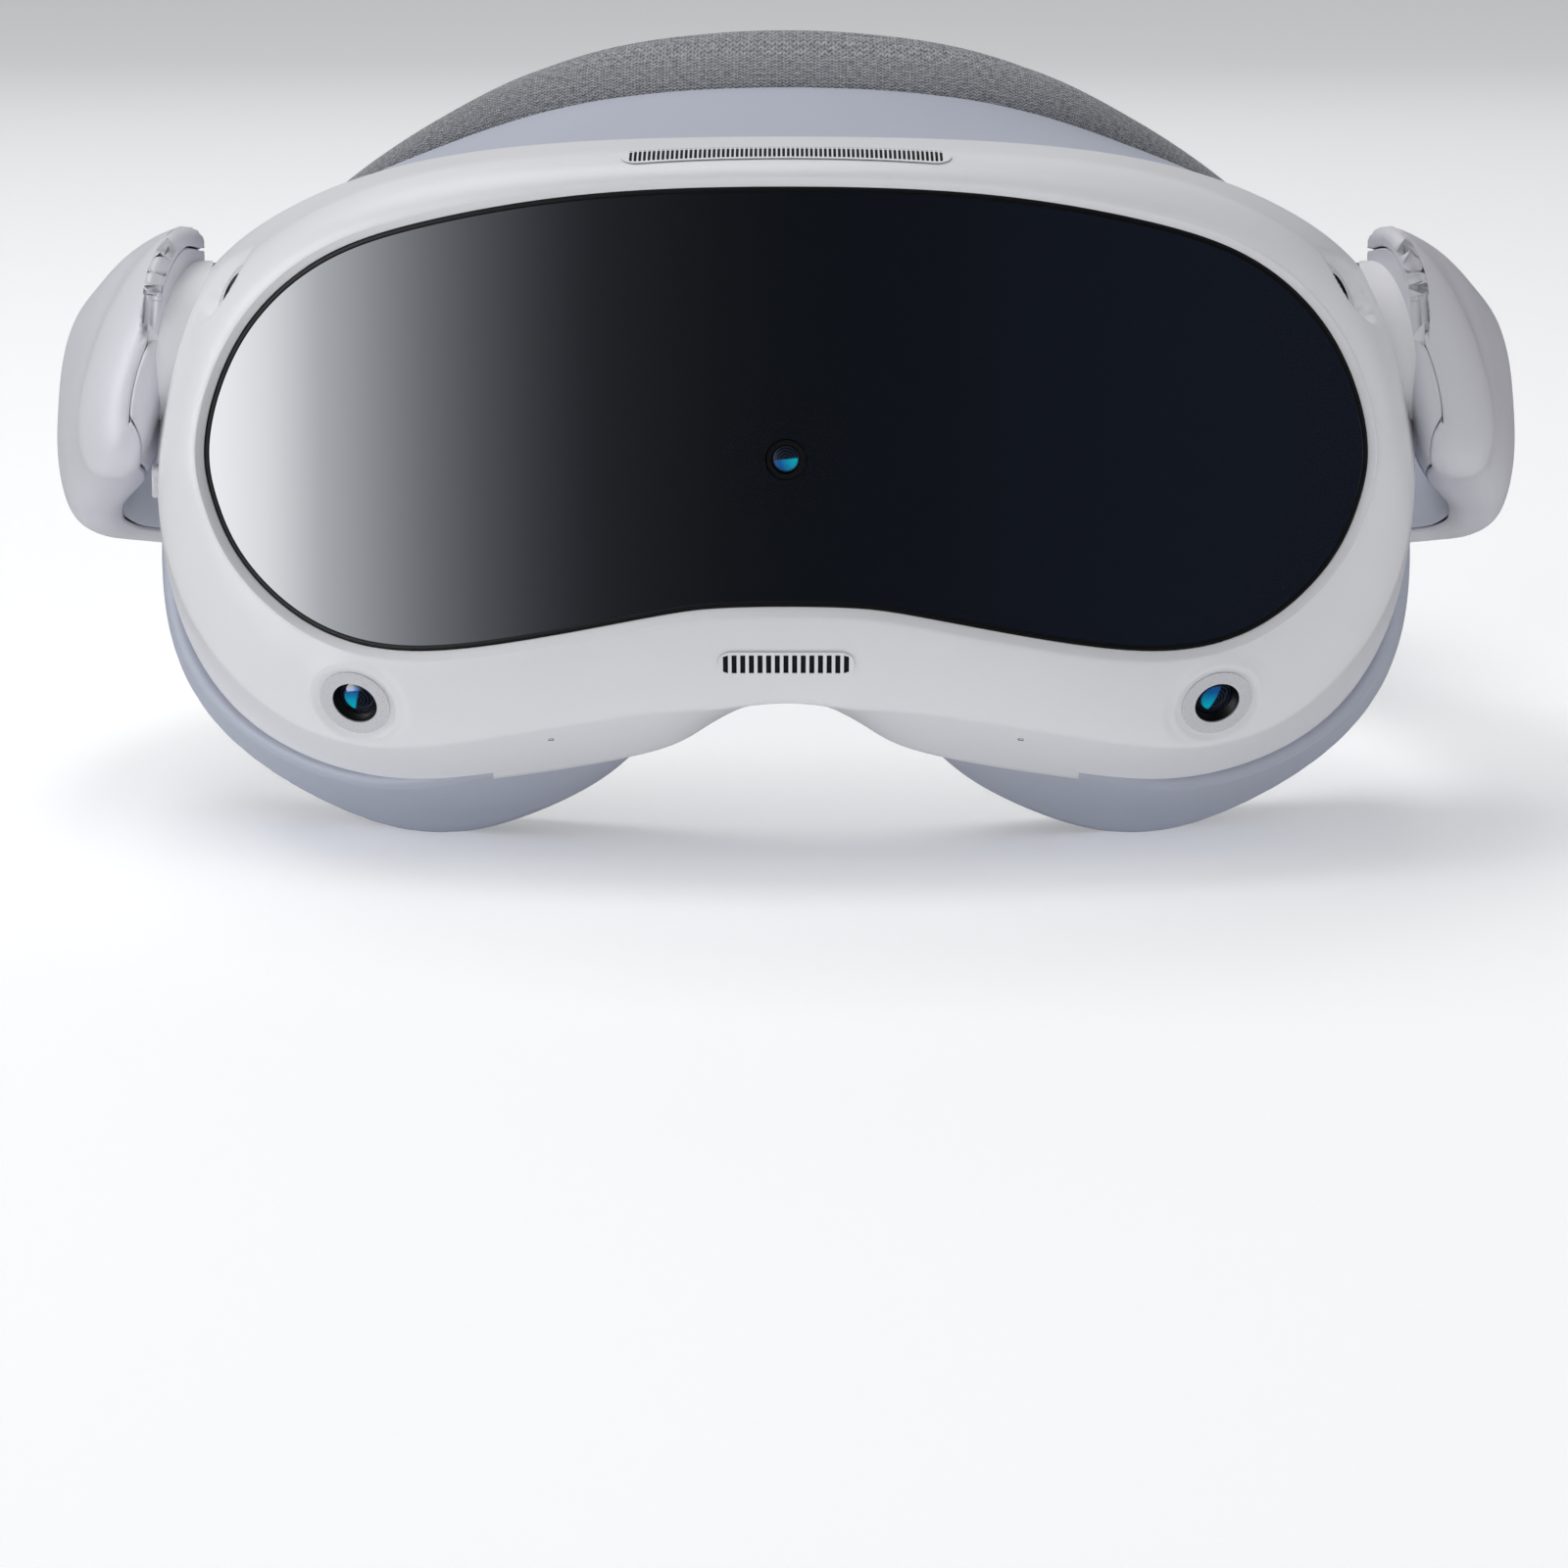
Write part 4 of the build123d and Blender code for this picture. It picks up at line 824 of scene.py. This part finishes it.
def rear_pad_grid():
    """Pad against the cup's inner face: a crowned section carried along the curve, closed at both ends."""
    low, high = (np.array(corner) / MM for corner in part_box("rear_pad"))
    curve_x, curve_depth = np.array(CUP_FRONT).T
    fit = np.polyfit(curve_x[2:-2], curve_depth[2:-2], 6)
    half_long = (high[0] - low[0]) / 2
    half_tall = (high[2] - low[2]) / 2
    rows = []
    for share in np.linspace(-1, 1, PAD_ALONG):
        share = math.sin(share * math.pi / 2)
        x = share * half_long
        slope = np.polyval(np.polyder(fit), x)
        turn = np.array([slope, -1.0]) / math.hypot(slope, 1.0)
        end = max(1 - abs(share) ** 7, 0.0) ** (1 / 2.4)
        row = []
        for step in range(PAD_AROUND):
            angle = 2 * math.pi * step / PAD_AROUND
            out = squared(math.cos(angle), 0.6) * end
            up = squared(math.sin(angle), 0.6) * max(end, 0.05)
            away = 0.4 + (PAD_THICK - 0.6) * (0.5 + 0.5 * out)
            row.append((
                (x + turn[0] * away * 0.9) * MM,
                (FRONT_Y + np.polyval(fit, x) + turn[1] * away) * MM,
                ((low[2] + high[2]) / 2 + up * (half_tall - 0.3)) * MM,
            ))
        rows.append(row)
    return np.array(rows)


rear_pad = grid_mesh(
    "rear_pad_knit", rear_pad_grid(), wrap_rows=False, wrap_columns=True, uv_scale=(150, 118)
)
against_cup = [v.index for v in rear_pad.data.vertices if abs(v.index % PAD_AROUND - PAD_AROUND // 2) < 4]
swell(rear_pad, against_cup, SWELL_CAP)
dress(rear_pad, "rear_cup", KNIT, "knit_grey", "rear_pad")

# ---------------------------------------------------------------- strap arms
# depth, inner and outer x, lowest and highest z, lean of the section towards the front unit
ARM = [
    (36.0, 96.5, 104.5, 63.0, 95.0, 0.36), (44.0, 97.3, 107.9, 60.5, 97.5, 0.36),
    (50.0, 97.9, 109.0, 59.0, 96.5, 0.30), (58.0, 99.3, 112.0, 56.5, 93.6, 0.22),
    (68.0, 103.4, 115.6, 53.0, 88.2, 0.15), (78.0, 107.4, 118.4, 49.5, 82.6, 0.08),
    (88.0, 109.4, 119.5, 45.5, 77.0, 0.02), (100.0, 109.4, 119.0, 42.5, 72.0, 0.0),
    (118.0, 107.4, 115.6, 39.0, 66.0, 0.0), (142.0, 100.6, 107.0, 34.5, 59.0, 0.0),
    (158.0, 92.4, 99.0, 32.0, 56.0, 0.0), (168.0, 88.6, 95.6, 31.5, 55.5, 0.0),
]
ARM_START, ARM_END = ARM[0][0], ARM[-1][0]
NOSE = 8.0
LINING_SHADE_FROM = 54.0  # depth behind which the lining turns from strap white to the blue-grey painted shade


def arm_station(depth):
    """Arm section's numbers at any depth, smoothly and without overshoot between the stations."""
    table = np.array(ARM)
    depths = table[:, 0]
    index = int(np.clip(np.searchsorted(depths, depth) - 1, 0, len(depths) - 2))
    spans = np.diff(depths)[:, None]
    slopes = np.diff(table, axis=0) / spans
    tangents = np.zeros_like(table)
    tangents[0], tangents[-1] = slopes[0], slopes[-1]
    before, after = slopes[:-1], slopes[1:]
    same_way = before * after > 0
    harmonic = np.where(same_way, 2 * before * after / np.where(same_way, before + after, 1), 0)
    tangents[1:-1] = harmonic
    span = depths[index + 1] - depths[index]
    share = (depth - depths[index]) / span
    low, high = table[index], table[index + 1]
    return (
        low * (1 + 2 * share) * (1 - share) ** 2 + tangents[index] * span * share * (1 - share) ** 2
        + high * share**2 * (3 - 2 * share) + tangents[index + 1] * span * share**2 * (share - 1)
    )[1:]


HINGE_DEPTH, HINGE_Z = 48.0, 80.5
TILTS = np.radians(np.arange(-10, 71, 5))
# half width of the front unit's side at each height, and the depths between which it is reckoned with
FLANK_Z = [12, 19, 34.5, 53, 69, 89, 103, 110.4, 114.6]
FLANK_X = [65, 84, 97, 100.2, 99.3, 93, 77, 56, 0]
CREASE_AT, CREASE_ROUND, CREASE_INSET = 31.0, 15, 8
FLANK_END = 92
ARM_GAP = 0.5


def clear_side(depth, z):
    """Rough least distance from the middle that keeps a point off the front unit's side as it tilts."""
    run, rise = depth - HINGE_DEPTH, z - HINGE_Z
    swung_depth = HINGE_DEPTH + run * np.cos(TILTS) - rise * np.sin(TILTS)
    swung_z = HINGE_Z + run * np.sin(TILTS) + rise * np.cos(TILTS)
    flank = np.interp(swung_z, FLANK_Z, FLANK_X)
    ahead = np.clip((CREASE_AT - swung_depth) / CREASE_ROUND, 0, 1)
    flank = flank - CREASE_INSET * (1 - np.sqrt(1 - ahead**2))
    flank[(swung_depth < CREASE_AT - CREASE_ROUND) | (swung_depth > FLANK_END)] = 0
    return flank.max() + ARM_GAP


def arm_piece(name, side, start, end, body_material, slot_name, lift, node):
    """Part of the arm's skin between two angles round its section, closed by its thickness."""
    nose_depths = ARM_START + NOSE * np.linspace(0, 1, 22) ** 2
    depths = np.concatenate([nose_depths, np.linspace(ARM_START + NOSE + 0.8, ARM_END, 90)])
    rows = []
    for depth in depths:
        inner, outer, low, high, lean = arm_station(depth)
        nose = min((depth - ARM_START) / NOSE, 1.0)
        nose = max(1 - (1 - nose) ** 2.4, 0.0) ** (1 / 2.4)
        half_wide = (outer - inner) / 2 * (0.02 + 0.98 * nose) + lift
        half_tall = (high - low) / 2 * (0.62 + 0.38 * nose) + lift
        row = []
        for angle in np.radians(np.linspace(start, end, 56)):
            across = squared(math.cos(angle), 0.72) * half_wide
            up = squared(math.sin(angle), 0.72) * half_tall
            x = (inner + outer) / 2 + across - lean * (up + 0.4 * up * up / half_tall)
            z = (low + high) / 2 + up
            x = max(x, clear_side(depth, z))
            row.append((side * x * MM, (FRONT_Y + depth) * MM, z * MM))
        rows.append(row)
    piece = grid_mesh(name, np.array(rows), wrap_rows=False, flip=side < 0)
    thick = piece.modifiers.new("thick", "SOLIDIFY")
    thick.thickness = 0.0016
    thick.offset = -1
    return dress(piece, "strap", body_material, slot_name, node)


for side, side_name in ((-1, "left"), (1, "right")):
    cover = arm_piece(
        f"arm_cover_{side_name}", side, -117, 117, LILAC, "shell_white", 0.0, f"arm_outer_{side_name}"
    )
    lining = arm_piece(
        f"arm_lining_{side_name}", side, 118.5, 241.5, LILAC, "gasket_grey", -0.2, f"arm_inner_{side_name}"
    )
    # rear part of the lining gets the blue-grey painted shade instead of strap white
    lining.data.materials.append(GREY_WITH_PAINTED_SHADE)
    for face in lining.data.polygons:
        face.material_index = int(face.center.y > (FRONT_Y + LINING_SHADE_FROM) * MM)
    arm_tree = BVHTree.FromPolygons(
        [Vector(v.co) for v in lining.data.vertices] + [Vector(v.co) for v in cover.data.vertices],
        [tuple(f.vertices) for f in lining.data.polygons]
        + [tuple(v + len(lining.data.vertices) for v in f.vertices) for f in cover.data.polygons],
    )
    hit, normal, _, _ = arm_tree.ray_cast(
        Vector((side * 102.6, FRONT_Y, 64.5)) * MM, Vector((0, 1, 0))
    )
    if normal.y > 0:
        normal = -normal
    dot(f"speaker_slot_{side_name}", hit + normal * 0.05 * MM, normal, 2.7, 1.2, "strap", -side * 0.75)


# ---------------------------------------------------------------- floor, light and camera
def stage_plane(name, size, material):
    mesh = bpy.data.meshes.new(name)
    corners = [(-size, -size, 0), (size, -size, 0), (size, size, 0), (-size, size, 0)]
    mesh.from_pydata(corners, [], [(0, 1, 2, 3)])
    piece = linked(name, mesh)
    mesh.materials.append(material)
    return piece


floor_material, _, _, floor_shader = new_material("pale_floor", (0.9, 0.9, 0.905), 0.9)
floor_shader.inputs["Emission Color"].default_value = (0.98, 0.985, 1, 1)
floor_shader.inputs["Emission Strength"].default_value = 0.27
floor = stage_plane("floor", 12, floor_material)
floor.visible_glossy = False


def light(name, location, target, size, energy, color=(1, 1, 1), glossy=True):
    data = bpy.data.lights.new(name, "AREA")
    data.shape = "RECTANGLE"
    data.size, data.size_y = size
    data.energy = energy
    data.color = color
    lamp = linked(name, data)
    lamp.location = location
    lamp.rotation_euler = (Vector(target) - Vector(location)).to_track_quat("-Z", "Y").to_euler()
    lamp.visible_glossy = glossy


light("key_top", (-0.45, 0.0, 1.5), (0, 0, 0.05), (1.6, 1.2), 14)
light("front_fill", (0.2, -1.6, 0.9), (0, 0, 0.06), (1.8, 0.8), 0.7, glossy=False)
light("left_fill", (-1.4, -0.3, 0.5), (0, 0, 0.06), (1.0, 0.9), 3.4, (0.97, 0.98, 1))
light("right_fill", (1.4, -0.2, 0.5), (0, 0, 0.06), (1.0, 0.9), 1.3, (0.95, 0.96, 1))
light("back_fill", (0.0, 1.5, 0.9), (0, 0, 0.06), (1.6, 0.9), 2)

world = bpy.data.worlds.new("studio")
bpy.context.scene.world = world
world.use_nodes = True
world.node_tree.nodes["Background"].inputs["Color"].default_value = (0.97, 0.98, 1.0, 1)
world.node_tree.nodes["Background"].inputs["Strength"].default_value = 0.27
world.cycles_visibility.glossy = False


CARD_RADIUS, CARD_LOW, CARD_HIGH = 1.6, -0.9, 0.75
CARD_STRENGTH = 6.4


def reflection_card(name, first, last, stops):
    """Curved glowing card round the front, whose glow changes along its length; only gloss sees it."""
    count = 48
    points = []
    for step in range(count + 1):
        angle = math.radians(first + (last - first) * step / count)
        for z in (CARD_LOW, CARD_HIGH):
            points.append((CARD_RADIUS * math.sin(angle), FRONT_Y * MM - CARD_RADIUS * math.cos(angle), z))
    faces = [(2 * s, 2 * s + 2, 2 * s + 3, 2 * s + 1) for s in range(count)]
    mesh = bpy.data.meshes.new(name)
    mesh.from_pydata(points, [], faces)
    layer = mesh.uv_layers.new(name="along")
    uv = []
    for step in range(count):
        for share in (step, step + 1, step + 1, step):
            uv += [share / count, 0]
    layer.data.foreach_set("uv", uv)
    material = bpy.data.materials.new(name)
    material.use_nodes = True
    nodes = material.node_tree.nodes
    nodes.clear()
    coordinates = nodes.new("ShaderNodeUVMap")
    coordinates.uv_map = "along"
    ramp = nodes.new("ShaderNodeValToRGB")
    ramp.color_ramp.interpolation = "B_SPLINE"
    for index, (position, value) in enumerate(stops):
        element = ramp.color_ramp.elements[index] if index < 2 else ramp.color_ramp.elements.new(position)
        element.position = position
        element.color = (*value, 1)
    glow = nodes.new("ShaderNodeEmission")
    glow.inputs["Strength"].default_value = CARD_STRENGTH
    output = nodes.new("ShaderNodeOutputMaterial")
    tree = material.node_tree.links
    split = nodes.new("ShaderNodeSeparateXYZ")
    tree.new(coordinates.outputs["UV"], split.inputs["Vector"])
    tree.new(split.outputs["X"], ramp.inputs["Fac"])
    tree.new(ramp.outputs["Color"], glow.inputs["Color"])
    tree.new(glow.outputs["Emission"], output.inputs["Surface"])
    mesh.materials.append(material)
    piece = linked(name, mesh)
    piece.visible_camera = False
    piece.visible_diffuse = False
    piece.visible_shadow = False


# both ends first, then the stops between them
GLOW_STOPS = [
    (0.0, (0.95, 0.97, 1.0)), (1.0, (0.006, 0.008, 0.014)),
    (0.15, (0.95, 0.96, 1.0)), (0.2, (0.72, 0.74, 0.77)), (0.235, (0.42, 0.435, 0.46)),
    (0.3, (0.15, 0.158, 0.172)), (0.367, (0.045, 0.048, 0.056)), (0.43, (0.011, 0.012, 0.015)),
    (0.556, (0.002, 0.003, 0.004)), (0.78, (0.006, 0.008, 0.014)),
]
# angles from straight ahead, minus towards the viewer's left
reflection_card("gradient_card", -75, 60, GLOW_STOPS)

camera_data = bpy.data.cameras.new("camera")
camera = linked("camera", camera_data)
bpy.context.scene.camera = camera
DISTANCE, ELEVATION = 0.75, math.radians(8)
TARGET = Vector((0, FRONT_Y * MM, 0.0678))
camera.location = TARGET + DISTANCE * Vector((0, -math.cos(ELEVATION), math.sin(ELEVATION)))
camera.rotation_euler = (TARGET - camera.location).to_track_quat("-Z", "Y").to_euler()
camera_data.sensor_width = 36
camera_data.lens = 115.19
camera_data.shift_x = -0.00125
camera_data.shift_y = -0.2056
camera_data.clip_end = 30
camera_data.dof.use_dof = False
bpy.context.scene.view_settings.view_transform = "Standard"
